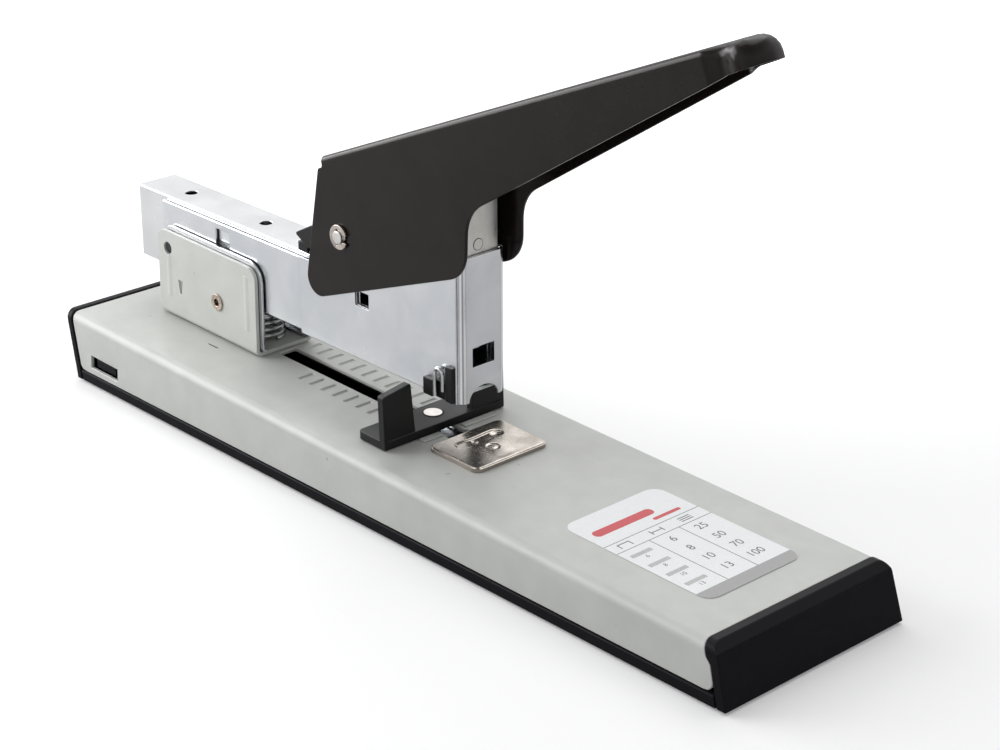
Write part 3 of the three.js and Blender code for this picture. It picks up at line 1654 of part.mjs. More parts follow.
// Paper guide
function makeGuide() {
  const rear = guideFront - guideLength;
  const low = fit;
  const high = fit + guideThickness;
  const plate = alongZ(
    rounded(rectangle(rear, guideFront, -guideNear, guideFar, guideCornerRadius)),
    low,
    high,
  );
  const posts = [
    [-guideNear, -guideNearInner],
    [guideFar, guideFarInner],
  ].map(([end, inner]) => {
    const side = Math.sign(end);
    const outline = orient(
      rounded([
        [end, low],
        [inner, low],
        [inner + side * guidePostTaper, guidePostHeight + guidePostRise, guideCornerRadius / 2],
        [end, guidePostHeight, guideCornerRadius / 2],
      ]),
    );
    const post = extruded(outline, guidePostThickness).applyMatrix4(sideBasis);
    post.applyMatrix4(new THREE.Matrix4().makeShear(0, 0, 0, 0, -guidePostLean, 0));
    return solid(post.translate(guideFront - guidePostThickness + guidePostLean * low, 0, 0));
  });
  const hole = barZ(guideRivetX, 0, guideRivetShank + fit, -overrun, high + overrun);
  const sink = barZ(guideRivetX, 0, guideRivetRadius + fit, high - guideRivetHead, high + overrun, roundSteps);
  return cut(joined(plate, ...posts), hole, sink);
}

const guideTop = fit + guideThickness;
const clampTop = frameBottom - fit;
const clampBottom = clampTop - guideClampThickness;

function makeGuideRivet() {
  return joined(
    barZ(guideRivetX, 0, guideRivetRadius, guideTop - guideRivetHead + fit / 2, guideTop + fit / 2, roundSteps),
    barZ(guideRivetX, 0, guideRivetShank, clampBottom - fit, guideTop - fit),
  );
}

function makeGuideClamp() {
  return block(
    guideRivetX - guideClampLength / 2,
    guideRivetX + guideClampLength / 2,
    -guideClampWidth / 2,
    guideClampWidth / 2,
    clampBottom,
    clampTop,
  ).subtract(barZ(guideRivetX, 0, guideRivetShank + fit / 2, clampBottom - overrun, clampTop + overrun));
}

place(top, "paper_guide", makeGuide(), blackPlastic());
place(top, "guide_rivet", makeGuideRivet(), nickel());
place(top, "guide_clamp", makeGuideClamp(), zincSteel());

export default stapler;
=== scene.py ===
"""Looks for the desk stapler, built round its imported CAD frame. Metres, +Z up, +X towards the front cap."""

import json
import math

import bmesh
import bpy
from mathutils import Matrix, Vector


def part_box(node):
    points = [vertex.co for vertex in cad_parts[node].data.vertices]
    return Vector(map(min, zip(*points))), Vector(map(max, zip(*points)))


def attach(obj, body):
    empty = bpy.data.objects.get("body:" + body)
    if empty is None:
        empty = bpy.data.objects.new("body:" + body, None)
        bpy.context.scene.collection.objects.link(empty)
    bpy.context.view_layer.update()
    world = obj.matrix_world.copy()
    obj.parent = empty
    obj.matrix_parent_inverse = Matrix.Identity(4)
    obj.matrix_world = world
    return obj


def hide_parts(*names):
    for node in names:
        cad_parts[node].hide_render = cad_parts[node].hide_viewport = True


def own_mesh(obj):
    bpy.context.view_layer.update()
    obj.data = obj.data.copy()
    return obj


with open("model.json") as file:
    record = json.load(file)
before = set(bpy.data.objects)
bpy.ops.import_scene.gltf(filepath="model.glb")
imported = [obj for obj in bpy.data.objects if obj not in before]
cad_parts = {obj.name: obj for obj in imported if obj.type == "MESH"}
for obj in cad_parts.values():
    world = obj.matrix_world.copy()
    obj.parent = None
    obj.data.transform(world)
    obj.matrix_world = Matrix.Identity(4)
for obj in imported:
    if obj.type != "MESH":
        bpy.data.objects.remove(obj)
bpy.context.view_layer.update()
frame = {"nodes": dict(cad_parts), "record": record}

MM = 0.001
QUARTER_TURN = math.pi / 2
FULL_TURN = 2 * math.pi
UP = Vector((0, 0, 1))
ACROSS = Vector((0, 1, 0))

# Camera, at the photograph's viewing angle
CAMERA_PLACE = (478.06 * MM, -415.67 * MM, 309.16 * MM)
CAMERA_HEADING = math.radians(137.55)
CAMERA_PITCH = math.radians(23.39)
CAMERA_ROLL = math.radians(-0.18)
CAMERA_SENSOR = 36
CAMERA_LENS = 2.42 * CAMERA_SENSOR
CAMERA_SHIFT = (0.00493, -0.00109)
CAMERA_REACH = 20

# The base's sloping top
BASE_LENGTH = 286 * MM
BASE_REAR_HEIGHT = 22 * MM
BASE_FRONT_HEIGHT = 17 * MM
END_LEAN = math.radians(16)
TOP_SLOPE = math.atan2(
    BASE_REAR_HEIGHT - BASE_FRONT_HEIGHT, BASE_LENGTH - BASE_FRONT_HEIGHT * math.tan(END_LEAN)
)
TOP_MIDDLE = BASE_REAR_HEIGHT - BASE_LENGTH / 2 * math.tan(TOP_SLOPE)

# Label film and its print; places along it are from the film's rear edge
LABEL_REAR = 68.8 * MM
LABEL_LENGTH = 53.2 * MM
LABEL_WIDTH = 35.6 * MM
LABEL_CORNER = 4 * MM
LABEL_LOW = 0.04 * MM
LABEL_HIGH = 0.2 * MM
LABEL_EDGE = 0.05 * MM
INK = 0.015 * MM
RULE = 0.22 * MM
HEADER_REAR = 16.0 * MM
HEADER_FRONT = 20.8 * MM
BAND_REAR = 48.7 * MM
COLUMN_EDGES = (-6.0 * MM, 5.3 * MM)
COLUMN_MIDDLES = (-12.4 * MM, -0.6 * MM, 10.3 * MM)
ROW_MIDDLES = (24.4 * MM, 30.8 * MM, 37.1 * MM, 43.6 * MM)
SIZE_NUMBERS = ("6", "8", "10", "13")
SHEET_NUMBERS = ("25", "50", "70", "100")
NUMBER_SIZE = 3.9 * MM
SMALL_NUMBER_SIZE = 2.1 * MM
SMALL_NUMBER_DROP = 2.2 * MM

# Small pictures on the label: a staple, its width, a stack of sheets, and strips of staples
ICON_HALF = 1.1 * MM
ICON_REACH = 2 * ICON_HALF
ICON_STROKE = 0.35 * MM
SHEET_GAP = 0.8 * ICON_HALF
STRIP_SIDE_LEGS = 7
LEG_PITCH = 0.5 * MM
LEG_REAR = 0.85 * MM
LEG_FRONT = 0.75 * MM
LEG_HALF = 0.17 * MM
LEG_CORNER = 0.12 * MM
LEG_CORNER_STEPS = 2

# Red stripes: rear, front, near, far, corner
STRIPES = (
    (7.8 * MM, 11.0 * MM, -15 * MM, 7 * MM, 1.5 * MM),
    (12.7 * MM, 14.0 * MM, 3.4 * MM, 13.6 * MM, 0.6 * MM),
)

# Springs of round wire
SPRING_WIRE = 1.2 * MM
SPRING_TURNS = 6
SPRING_CLOSED_TURNS = 0.8
SPRING_STEPS = 28
SPRING_SIDES = 10

# Anvil plate
ANVIL_MIDDLE = 20.8 * MM
ANVIL_LENGTH = 20.8 * MM
ANVIL_WIDTH = 27.6 * MM
ANVIL_CORNER = 2.5 * MM
ANVIL_LOW = 0.05 * MM
ANVIL_HIGH = 1.5 * MM
ANVIL_EDGE = 0.7 * MM
ANVIL_EDGE_DROP = 0.35 * MM
ANVIL_STEP = 0.2 * MM
VALLEY_DEPTH = 0.24 * MM
VALLEY_HALF = 3.2 * MM
VALLEY_FADE = 4 * ANVIL_EDGE
GROOVE_MIDDLE = 16.8 * MM
GROOVE_HALF_LENGTH = 8.4 * MM
GROOVE_RADIUS = 2.1 * MM
GROOVE_DEPTH = 0.4 * MM
GROOVE_FLOOR = 0.75 * GROOVE_RADIUS
GROOVE_BRIM = 1.1 * GROOVE_RADIUS
PADS = (-1.8 * MM, 5.9 * MM)
PAD_RADIUS = 1.7 * MM
PAD_DEPTH = 0.3 * MM
DIMPLE_PLACE = 22.6 * MM
DIMPLE_RADIUS = 1.5 * MM
DIMPLE_RIM = 0.5 * DIMPLE_RADIUS
DIMPLE_DEPTH = 0.2 * MM

# Marks beside the paper guide's slot, and the lips beside its mouth
TICK_PITCH = 5.4 * MM
TICK_COUNT = 12
TICK_NEAR_SKIP = 3
TICK_FIRST = -68.1 * MM
TICK_LENGTH = 5.2 * MM
TICK_WIDTH = 0.7 * MM
TICK_NEAR_OFFSET = 7.6 * MM
TICK_FAR_OFFSET = 8.1 * MM
TICK_LOW = -0.39 * MM
TICK_HIGH = -0.33 * MM
LIP_REAR = 4.1 * MM
LIP_FRONT = 6.5 * MM
LIP_INNER = 4.2 * MM
LIP_NEAR_OUTER = 11.5 * MM
LIP_FAR_OUTER = 16.5 * MM
LIP_HEIGHT = 0.55 * MM
LIP_CORNER = 0.4 * MM
LIP_EDGE = 0.2 * MM
SLIT = (-91 * MM, -86.2 * MM, -15.3 * MM, -14.9 * MM)
SLIT_CORNER = 0.15 * MM
SLIT_HIGH = 0.08 * MM

# Bracket's mark, on its near side
BRACKET_NEAR = -10.8 * MM
MARK_DEPTH = 0.5 * MM
MARK_SINK = 0.01 * MM
MARK_THICKNESS = 0.04 * MM
MARK_MIDDLE = -110.5 * MM
MARK_LOW = 30.9 * MM
MARK_HIGH = 35.1 * MM
MARK_LOW_WIDTH = 0.6 * MM
MARK_HIGH_WIDTH = 2.1 * MM

# Throat spring: a hairpin of round wire
HAIRPIN_REAR = 9.9 * MM
HAIRPIN_FRONT = 13.2 * MM
HAIRPIN_TOP = 44.1 * MM
HAIRPIN_REAR_END = 35 * MM
HAIRPIN_FRONT_END = 37.2 * MM
HAIRPIN_DEPTH = -10.2 * MM
HAIRPIN_WIRE = 0.62 * MM
HAIRPIN_STEPS = 14

# Fine rings round rivet heads
RIVET_RING = 1.66 * MM
RIVET_RING_WIRE = 0.09 * MM
DISC_RING_WIRE = 0.16 * MM
HOOP_STEPS = 40
HOOP_SIDES = 6

# Rounded edges and corners
MERGE = 0.002 * MM
FLAT_ANGLE = math.radians(0.5)
EDGE_ANGLE = math.radians(28)
SMOOTH_ANGLE = math.radians(24)
BEND_ANGLE = math.radians(50)
FOLD_ANGLE = math.radians(150)
BEVEL_WEIGHT = "bevel_weight_edge"
EDGE_SEGMENTS = 2
FACE_WEIGHT = 100
CORNER_STEPS = 6

# Noise in the finishes: its sizes, and the stretch of it over which a look changes
MOTTLE_SIZE = 9 * MM
SPECK_SIZE = 3.5 * MM
GLOSS_SIZE = 3 * MM
PEEL_SIZE = 0.7 * MM
RUB_SIZE = 6 * MM
MOULD_GRAIN_SIZE = 0.35 * MM
BRUSH_SIZE = 0.5 * MM
TOOTH_SIZE = 0.5 * MM
TOOTH_HEIGHT = 0.004 * MM
WHOLE = (0, 1)
MIDDLE = (0.3, 0.7)
MOTTLE_RANGE = (0.35, 0.7)
SPECK_RANGE = (0.79, 0.82)
RUB_RANGE = (0.5, 0.8)
CLOUD_RANGE = (0.35, 0.65)
TOOTH_RANGE = (0.4, 0.7)
RUBBED = (0, 0.6)

# Upward share of a face's normal, from a side face to a level one
# Where the painted sheen on moulded plastic fades in
PAINTED_SHEEN_FACES = (0.45, 0.75)
LEVEL_FACES = (0.7, 0.9)

# How much lighter or darker the second tone of a finish is: gain and lift
SPECK_TONE = (0.3, 0)
RUB_TONE = (1.6, 0.001)
TOOTH_TONE = (1.06, 0.01)

# Brushing directions
EVEN = (1, 1, 1)
ALONG = (0.06, 1, 1)
UPRIGHT = (1, 1, 0.06)

# Painted reflections: light and dark bands round the head's bends
BAND_COUNT = 3
BAND_SHARE = 0.75
PAINTED_REFLECTION_LIGHT = (1.0, 1.0, 1.0, 1.0)
PAINTED_REFLECTION_DARK = (0.2, 0.205, 0.215, 1.0)

# Room: soft light on the object, and what its gloss shows
WHITE = (1.0, 1.0, 1.0, 1.0)
BLACK = (0.0, 0.0, 0.0, 1.0)
SOFT_LIGHT = (0.39, 0.68)
CEILING_FROM = (0.5, 0.85)
CEILING_TONE = (1.0, 0.4)
ASIDE_FROM = (0.3, 0.8)
ASIDE_TONE = (0.0, 0.7)
LOW_FROM = (0.1, 0.5)
LOW_TONE = (1.0, 0.0)

# Lamps: place, target, side, power
LAMPS = {
    "key_light": ((-0.72, -0.5, 0.38), (-0.1, 0, 0.03), 0.6, 5.7),
    "top_light": ((-0.35, 0.3, 0.8), (-0.02, 0, 0.03), 0.9, 3.9),
    "rim_light": ((-1.55, -0.18, 0.52), (0, 0, 0.1), 0.5, 5),
}

# Floor: pale paint, which glows for the camera with the distance from the object, so that the weaker glow
# near it paints a shadow round it
FLOOR_HALF = 6.0
FLOOR_DROP = 0.02 * MM
FLOOR_PAINT = (0.57, 0.57, 0.575, 1.0)
FLOOR_SEEN = (0.8, 0.8, 0.805, 1.0)
FLOOR_ROUGHNESS = 0.5
GLOW_FROM = (0.2, 0.5)
GLOW = (0.17, 0.75)
GLOW_IN_GLOSS = 0.05

# Sockets of a Mix node in its colour mode
MIX_LOW = 6
MIX_HIGH = 7
MIX_RESULT = 2

collection = bpy.context.scene.collection


def add_camera():
    data = bpy.data.cameras.new("camera")
    data.sensor_width = CAMERA_SENSOR
    data.lens = CAMERA_LENS
    data.shift_x, data.shift_y = CAMERA_SHIFT
    data.clip_end = CAMERA_REACH
    camera = bpy.data.objects.new("camera", data)
    turn = Matrix.Rotation(CAMERA_HEADING - QUARTER_TURN, 4, "Z")
    tilt = Matrix.Rotation(QUARTER_TURN - CAMERA_PITCH, 4, "X")
    roll = Matrix.Rotation(CAMERA_ROLL, 4, "Z")
    camera.matrix_world = Matrix.Translation(CAMERA_PLACE) @ turn @ tilt @ roll
    collection.objects.link(camera)
    bpy.context.scene.camera = camera


class Nodes:
    """A node tree with short calls for the nodes that the materials use."""

    def __init__(self, tree):
        self.tree = tree
        tree.nodes.clear()

    def add(self, kind, **inputs):
        node = self.tree.nodes.new(kind)
        for key, value in inputs.items():
            self.put(node.inputs[key], value)
        return node

    def put(self, socket, value):
        if isinstance(value, bpy.types.NodeSocket):
            self.tree.links.new(value, socket)
        else:
            socket.default_value = value

    def noise(self, size, stretch=EVEN, detail=2.0, roughness=0.5, distortion=0.0):
        place = self.add("ShaderNodeTexCoord").outputs["Object"]
        mapping = self.add("ShaderNodeMapping", Vector=place, Scale=stretch)
        node = self.add(
            "ShaderNodeTexNoise",
            Vector=mapping.outputs["Vector"],
            Scale=1 / size,
            Detail=detail,
            Roughness=roughness,
            Distortion=distortion,
        )
        return node.outputs["Fac"]

    def facing(self, axis):
        """How much of a face's normal lies along an axis."""
        normal = self.add("ShaderNodeNewGeometry").outputs["Normal"]
        return self.add("ShaderNodeSeparateXYZ", Vector=normal).outputs[axis]

    def spread(self, value, source, target):
        node = self.add("ShaderNodeMapRange", Value=value)
        names = ("From Min", "From Max", "To Min", "To Max")
        for name, number in zip(names, (*source, *target)):
            node.inputs[name].default_value = number
        return node.outputs["Result"]

    def math(self, operation, a, b=0.0):
        node = self.add("ShaderNodeMath")
        node.operation = operation
        self.put(node.inputs[0], a)
        self.put(node.inputs[1], b)
        return node.outputs[0]

    def blend(self, share, low, high):
        node = self.add("ShaderNodeMix")
        node.data_type = "RGBA"
        self.put(node.inputs["Factor"], share)
        self.put(node.inputs[MIX_LOW], low)
        self.put(node.inputs[MIX_HIGH], high)
        return node.outputs[MIX_RESULT]

    def bump(self, height, distance):
        return self.add("ShaderNodeBump", Height=height, Distance=distance).outputs["Normal"]

    def join(self, share, one, other):
        """A mix of two shaders."""
        node = self.add("ShaderNodeMixShader")
        for socket, value in zip(node.inputs, (share, one, other)):
            self.put(socket, value)
        return node.outputs[0]


def rgb(red, green, blue):
    return (red, green, blue, 1.0)


def toned(color, gain, lift):
    return rgb(*(gain * c + lift for c in color[:3]))


def new_material(name):
    material = bpy.data.materials.new(name)
    material.use_nodes = True
    nodes = Nodes(material.node_tree)
    surface = nodes.add("ShaderNodeBsdfPrincipled")
    nodes.add("ShaderNodeOutputMaterial", Surface=surface.outputs[0])
    return material, nodes, surface


def enamel(name, color, shade, roughness, peel=0.012 * MM, level=0.5, specks=0.45):
    """Stoved enamel: a faint mottle in the colour, a few specks, a little orange peel and uneven gloss."""
    material, nodes, surface = new_material(name)
    mottle = nodes.noise(MOTTLE_SIZE, detail=4)
    coat = nodes.blend(nodes.spread(mottle, MOTTLE_RANGE, WHOLE), color, shade)
    if specks:
        sparse = nodes.spread(nodes.noise(SPECK_SIZE, detail=1), SPECK_RANGE, (0, specks))
        coat = nodes.blend(sparse, coat, toned(color, *SPECK_TONE))
    nodes.put(surface.inputs["Base Color"], coat)
    gloss = nodes.noise(GLOSS_SIZE, detail=3)
    nodes.put(surface.inputs["Roughness"], nodes.spread(gloss, MIDDLE, roughness))
    nodes.put(surface.inputs["Specular IOR Level"], level)
    nodes.put(surface.inputs["Normal"], nodes.bump(nodes.noise(PEEL_SIZE), peel))
    return material


def moulding(name, color, roughness, grain=0.02 * MM, level=0.35, painted_sheen=0):
    """Injection-moulded plastic with a fine etched grain, light rubbing, and a painted sheen that lightens
    the faces looking up.
    """
    material, nodes, surface = new_material(name)
    rub = nodes.noise(RUB_SIZE, detail=5, roughness=0.6)
    plain = nodes.blend(nodes.spread(rub, RUB_RANGE, RUBBED), color, toned(color, *RUB_TONE))
    # Painted sheen: a lighter colour on the faces that look up
    upward = nodes.spread(nodes.facing("Z"), PAINTED_SHEEN_FACES, WHOLE)
    nodes.put(surface.inputs["Base Color"], nodes.blend(upward, plain, toned(color, 1, painted_sheen)))
    nodes.put(surface.inputs["Roughness"], nodes.spread(rub, MIDDLE, roughness))
    nodes.put(surface.inputs["Specular IOR Level"], level)
    nodes.put(surface.inputs["Normal"], nodes.bump(nodes.noise(MOULD_GRAIN_SIZE), grain))
    return material


def painted_bend_reflections(nodes, plating):
    """Painted reflections: light and dark bands in the colour along an upright bend, as whole waves in a
    quarter turn.
    """
    turn = nodes.math("ARCSINE", nodes.facing("X"))
    wave = nodes.math("SINE", nodes.math("MULTIPLY", turn, 4 * BAND_COUNT))
    bend = nodes.math("SINE", nodes.math("MULTIPLY", turn, 2))
    bands = nodes.math("MULTIPLY", wave, bend)
    lit = nodes.blend(nodes.spread(bands, (0, 1), (0, BAND_SHARE)), plating, PAINTED_REFLECTION_LIGHT)
    return nodes.blend(nodes.spread(bands, (0, -1), (0, BAND_SHARE)), lit, PAINTED_REFLECTION_DARK)


def plated(
    name,
    color,
    cloud,
    roughness,
    cloud_size=14 * MM,
    brush=EVEN,
    grain=0.006 * MM,
    streak=0.3,
    edge=None,
    painted_reflections=False,
):
    """Plated or bare steel: soft clouds, fine brushing, uneven gloss, and another tone on the faces that
    don't lie level.
    """
    material, nodes, surface = new_material(name)
    clouds = nodes.noise(cloud_size, detail=4, roughness=0.55, distortion=0.6)
    plating = nodes.blend(nodes.spread(clouds, CLOUD_RANGE, WHOLE), color, cloud)
    if edge:
        plating = nodes.blend(nodes.spread(nodes.facing("Z"), LEVEL_FACES, WHOLE), edge, plating)
    # Painted reflection bands round upright bends
    if painted_reflections:
        plating = painted_bend_reflections(nodes, plating)
    nodes.put(surface.inputs["Base Color"], plating)
    nodes.put(surface.inputs["Metallic"], 1.0)
    lines = nodes.noise(BRUSH_SIZE, stretch=brush, detail=3)
    swing = streak * roughness[0]
    uneven = nodes.spread(clouds, MIDDLE, roughness)
    lined = nodes.spread(lines, MIDDLE, (-swing, swing))
    nodes.put(surface.inputs["Roughness"], nodes.math("ADD", uneven, lined))
    nodes.put(surface.inputs["Normal"], nodes.bump(lines, grain))
    return material


def zinc(name, color, cloud, roughness=(0.2, 0.27), brush=ALONG, painted_reflections=False):
    """Bright zinc plate, nearly without grain."""
    return plated(
        name, color, cloud, roughness, brush=brush, grain=0.0003 * MM, streak=0.06, painted_reflections=painted_reflections
    )


def printed(name, color, roughness):
    """Printing ink or label film with a very fine tooth."""
    material, nodes, surface = new_material(name)
    tooth = nodes.noise(TOOTH_SIZE)
    ink = nodes.blend(nodes.spread(tooth, TOOTH_RANGE, WHOLE), color, toned(color, *TOOTH_TONE))
    nodes.put(surface.inputs["Base Color"], ink)
    nodes.put(surface.inputs["Roughness"], roughness)
    nodes.put(surface.inputs["Normal"], nodes.bump(tooth, TOOTH_HEIGHT))
    return material


FINISH = {
    "grey_paint": enamel(
        "grey_enamel", rgb(0.495, 0.505, 0.485), rgb(0.535, 0.545, 0.525), roughness=(0.34, 0.44)
    ),
    "bracket_paint": enamel(
        "bracket_enamel", rgb(0.555, 0.57, 0.54), rgb(0.6, 0.615, 0.585), roughness=(0.34, 0.44)
    ),
    "black_paint": enamel(
        "black_enamel",
        rgb(0.009, 0.0056, 0.0052),
        rgb(0.0125, 0.0085, 0.008),
        roughness=(0.2, 0.26),
        peel=0.002 * MM,
        level=0.2,
        specks=0,
    ),
    # The moulded plastics carry a painted sheen on what faces up
    "black_plastic": moulding(
        "black_moulding", rgb(0.0062, 0.0056, 0.0064), roughness=(0.4, 0.52), level=0.28, painted_sheen=0.042
    ),
    "satin_plastic": moulding(
        "satin_moulding",
        rgb(0.0062, 0.0055, 0.0074),
        roughness=(0.28, 0.38),
        grain=0.005 * MM,
        level=0.07,
        painted_sheen=0.0085,
    ),
    "rubber": moulding("rubber_feet", rgb(0.012, 0.012, 0.012), roughness=(0.75, 0.9), level=0.2),
    "zinc": zinc("zinc_plate", rgb(0.63, 0.65, 0.68), rgb(0.72, 0.735, 0.755)),
    "zinc_bright": zinc("zinc_channel", rgb(0.72, 0.73, 0.745), rgb(0.78, 0.79, 0.8)),
    # The head's plate has painted reflection bands round its bends
    "zinc_upright": zinc(
        "zinc_head",
        rgb(0.62, 0.63, 0.655),
        rgb(0.72, 0.73, 0.75),
        roughness=(0.15, 0.22),
        brush=UPRIGHT,
        painted_reflections=True,
    ),
    "bare_steel": plated(
        "ground_steel",
        rgb(0.6, 0.58, 0.55),
        rgb(0.72, 0.7, 0.67),
        roughness=(0.3, 0.42),
        brush=UPRIGHT,
    ),
    # Nearly black steel on the hinge studs: painted shade of the hole they sit in
    "stud_painted_shade": plated(
        "stud_steel_painted_shade",
        rgb(0.035, 0.035, 0.037),
        rgb(0.07, 0.07, 0.073),
        roughness=(0.3, 0.42),
        cloud_size=3 * MM,
    ),
    "nickel": plated(
        "nickel_plate",
        rgb(0.46, 0.42, 0.375),
        rgb(0.58, 0.535, 0.49),
        roughness=(0.17, 0.26),
        cloud_size=6 * MM,
        grain=0.0006 * MM,
        edge=rgb(0.36, 0.32, 0.285),
    ),
    "clip_steel": plated(
        "clip_nickel",
        rgb(0.4, 0.35, 0.315),
        rgb(0.58, 0.52, 0.475),
        roughness=(0.2, 0.3),
        cloud_size=3 * MM,
    ),
    "disc_steel": plated(
        "turned_steel",
        rgb(0.88, 0.84, 0.8),
        rgb(0.95, 0.91, 0.88),
        roughness=(0.1, 0.16),
        cloud_size=3 * MM,
    ),
    "spring_steel": plated(
        "spring_wire",
        rgb(0.46, 0.46, 0.465),
        rgb(0.62, 0.62, 0.625),
        roughness=(0.16, 0.24),
        cloud_size=3 * MM,
    ),
    "copper": plated(
        "coppered_steel",
        rgb(0.4, 0.325, 0.27),
        rgb(0.55, 0.46, 0.39),
        roughness=(0.22, 0.32),
        cloud_size=2 * MM,
    ),
    # Darker grey for the floors of the pressed marks: painted shade
    "tick_shade": enamel(
        "tick_painted_shade", rgb(0.33, 0.335, 0.325), rgb(0.39, 0.395, 0.385), roughness=(0.45, 0.55)
    ),
    "shadow_paint": printed("shadow_paint", rgb(0.012, 0.012, 0.012), roughness=0.6),
    "label_film": printed("label_film", rgb(0.76, 0.775, 0.785), roughness=0.35),
    "dark_ink": printed("dark_ink", rgb(0.075, 0.075, 0.08), roughness=0.4),
    # Grey print on the label, also painted shade on the bracket's mark
    "grey_ink_and_painted_shade": printed("grey_ink_and_painted_shade", rgb(0.33, 0.33, 0.33), roughness=0.4),
    "red_ink": printed("red_ink", rgb(0.55, 0.045, 0.055), roughness=0.4),
}


def matching(names, finish):
    return {name: finish for name in names}


CORNERS = ("rear_far", "rear_near", "front_far", "front_near")
LOOK = {
    **matching(["base_cover"], "grey_paint"),
    **matching(["bracket"], "bracket_paint"),
    **matching(["handle"], "black_paint"),
    **matching(["front_cap", "rear_cap", "base_tray"], "satin_plastic"),
    **matching(["pusher", "magazine_end", "release_latch", "throat_holder", "paper_guide"], "black_plastic"),
    **matching([f"foot_{c}" for c in CORNERS], "rubber"),
    **matching([f"base_screw_{c}" for c in CORNERS], "bare_steel"),
    **matching([f"bracket_screw_{c}" for c in CORNERS], "bare_steel"),
    **matching(["base_frame", "bracket_liner", "magazine_rail", "arm_frame"], "zinc"),
    **matching(["inner_channel"], "zinc_bright"),
    **matching(["staple_core", "guide_clamp"], "zinc"),
    **matching(["head_plate"], "zinc_upright"),
    **matching(["anvil_block", "latch_pin", "pivot_bush", "handle_pivot_pin"], "bare_steel"),
    **matching(["hinge_stud_far", "hinge_stud_near"], "stud_painted_shade"),
    **matching(["driver_blade", "driver_carrier", "driver_rivet", "drive_lug", "drive_pin"], "bare_steel"),
    **matching(["pivot_clip_far", "pivot_clip_near"], "clip_steel"),
    **matching(["guide_rivet"], "disc_steel"),
    **matching(["staple_strip", "pusher_rod", "handle_spring"], "spring_steel"),
    **matching(["eyelet_far", "eyelet_near"], "copper"),
}

# Edge radius in millimetres of the pieces whose edges show
EDGES = {
    "base_cover": 0.25,
    "front_cap": 0.25,
    "rear_cap": 0.35,
    "base_tray": 0.3,
    "bracket": 0.12,
    "bracket_liner": 0.15,
    "handle": 0.18,
    "magazine_rail": 0.15,
    "arm_frame": 0.15,
    "head_plate": 0.2,
    "inner_channel": 0.2,
    "driver_blade": 0.08,
    "driver_carrier": 0.12,
    "drive_lug": 0.15,
    "paper_guide": 0.2,
    "release_latch": 0.25,
    "throat_holder": 0.2,
    "magazine_end": 0.25,
    "pusher": 0.25,
    "guide_rivet": 0.12,
    "hinge_stud_far": 0.2,
    "hinge_stud_near": 0.2,
    "handle_pivot_pin": 0.25,
    "driver_rivet": 0.03,
    "pivot_clip_far": 0.12,
    "pivot_clip_near": 0.12,
    "eyelet_far": 0.1,
    "eyelet_near": 0.1,
    "staple_core": 0.1,
    "staple_strip": 0.05,
}

# Pieces whose shallow bends stay smooth, and pieces with a hole beside a raised form
BENT = ("handle", "bracket")
CROWDED = ("paper_guide", "throat_holder", "bracket")


def mesh_object(name, mesh, finish, body):
    piece = bpy.data.objects.new(name, mesh)
    collection.objects.link(piece)
    mesh.materials.append(FINISH[finish])
    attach(piece, body)
    return piece


def weigh_edges(shape, edge_angle):
    """Marks the edges that get rounded: the sharp ones, but no folds in the skin."""
    weights = shape.edges.layers.float.new(BEVEL_WEIGHT)
    for edge in shape.edges:
        if len(edge.link_faces) == 2:
            edge[weights] = float(edge_angle < edge.calc_face_angle() < FOLD_ANGLE)


def fill_mesh(mesh, shape, smooth_angle):
    """Writes a shape into a mesh, smooth but for its sharp edges."""
    for face in shape.faces:
        face.smooth = True
    shape.to_mesh(mesh)
    shape.free()
    mesh.set_sharp_from_angle(angle=smooth_angle)


def clean_mesh(node, name, smooth_angle, edge_angle):
    """A CAD node's mesh with its seams closed and its flat faces whole."""
    source = frame["nodes"][node].data
    mesh = bpy.data.meshes.new(name)
    mesh.from_pydata([v.co for v in source.vertices], [], [tuple(p.vertices) for p in source.polygons])
    shape = bmesh.new()
    shape.from_mesh(mesh)
    bmesh.ops.remove_doubles(shape, verts=shape.verts, dist=MERGE)
    bmesh.ops.dissolve_degenerate(shape, edges=shape.edges, dist=MERGE)
    bmesh.ops.dissolve_limit(
        shape, angle_limit=FLAT_ANGLE, verts=shape.verts, edges=shape.edges, delimit=set()
    )
    weigh_edges(shape, edge_angle)
    fill_mesh(mesh, shape, smooth_angle)
    return mesh


def round_edges(piece, width, slide=True):
    bevel = piece.modifiers.new("rounded_edges", "BEVEL")
    bevel.width = width
    bevel.segments = EDGE_SEGMENTS
    bevel.limit_method = "WEIGHT" if BEVEL_WEIGHT in piece.data.attributes else "ANGLE"
    bevel.angle_limit = EDGE_ANGLE
    bevel.use_clamp_overlap = False
    bevel.loop_slide = slide
    bevel.miter_outer = "MITER_SHARP"
    normals = piece.modifiers.new("flat_faces", "WEIGHTED_NORMAL")
    normals.weight = FACE_WEIGHT
    normals.keep_sharp = True


def body_of(node):
    bodies = frame["record"]["behaviour"]["bodies"]
    return next(body for body, nodes in bodies.items() if node in nodes)


def dress_frame():
    """Every CAD node gets its finish, and those with visible edges a copy with rounded ones."""
    for node, finish in LOOK.items():
        if node in EDGES:
            name = f"{node}_finished"
            angles = (BEND_ANGLE, BEND_ANGLE) if node in BENT else (SMOOTH_ANGLE, EDGE_ANGLE)
            piece = mesh_object(name, clean_mesh(node, name, *angles), finish, body_of(node))
            round_edges(piece, EDGES[node] * MM, slide=node not in CROWDED)
            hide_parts(node)
        else:
            materials = frame["nodes"][node].data.materials
            materials.clear()
            materials.append(FINISH[finish])


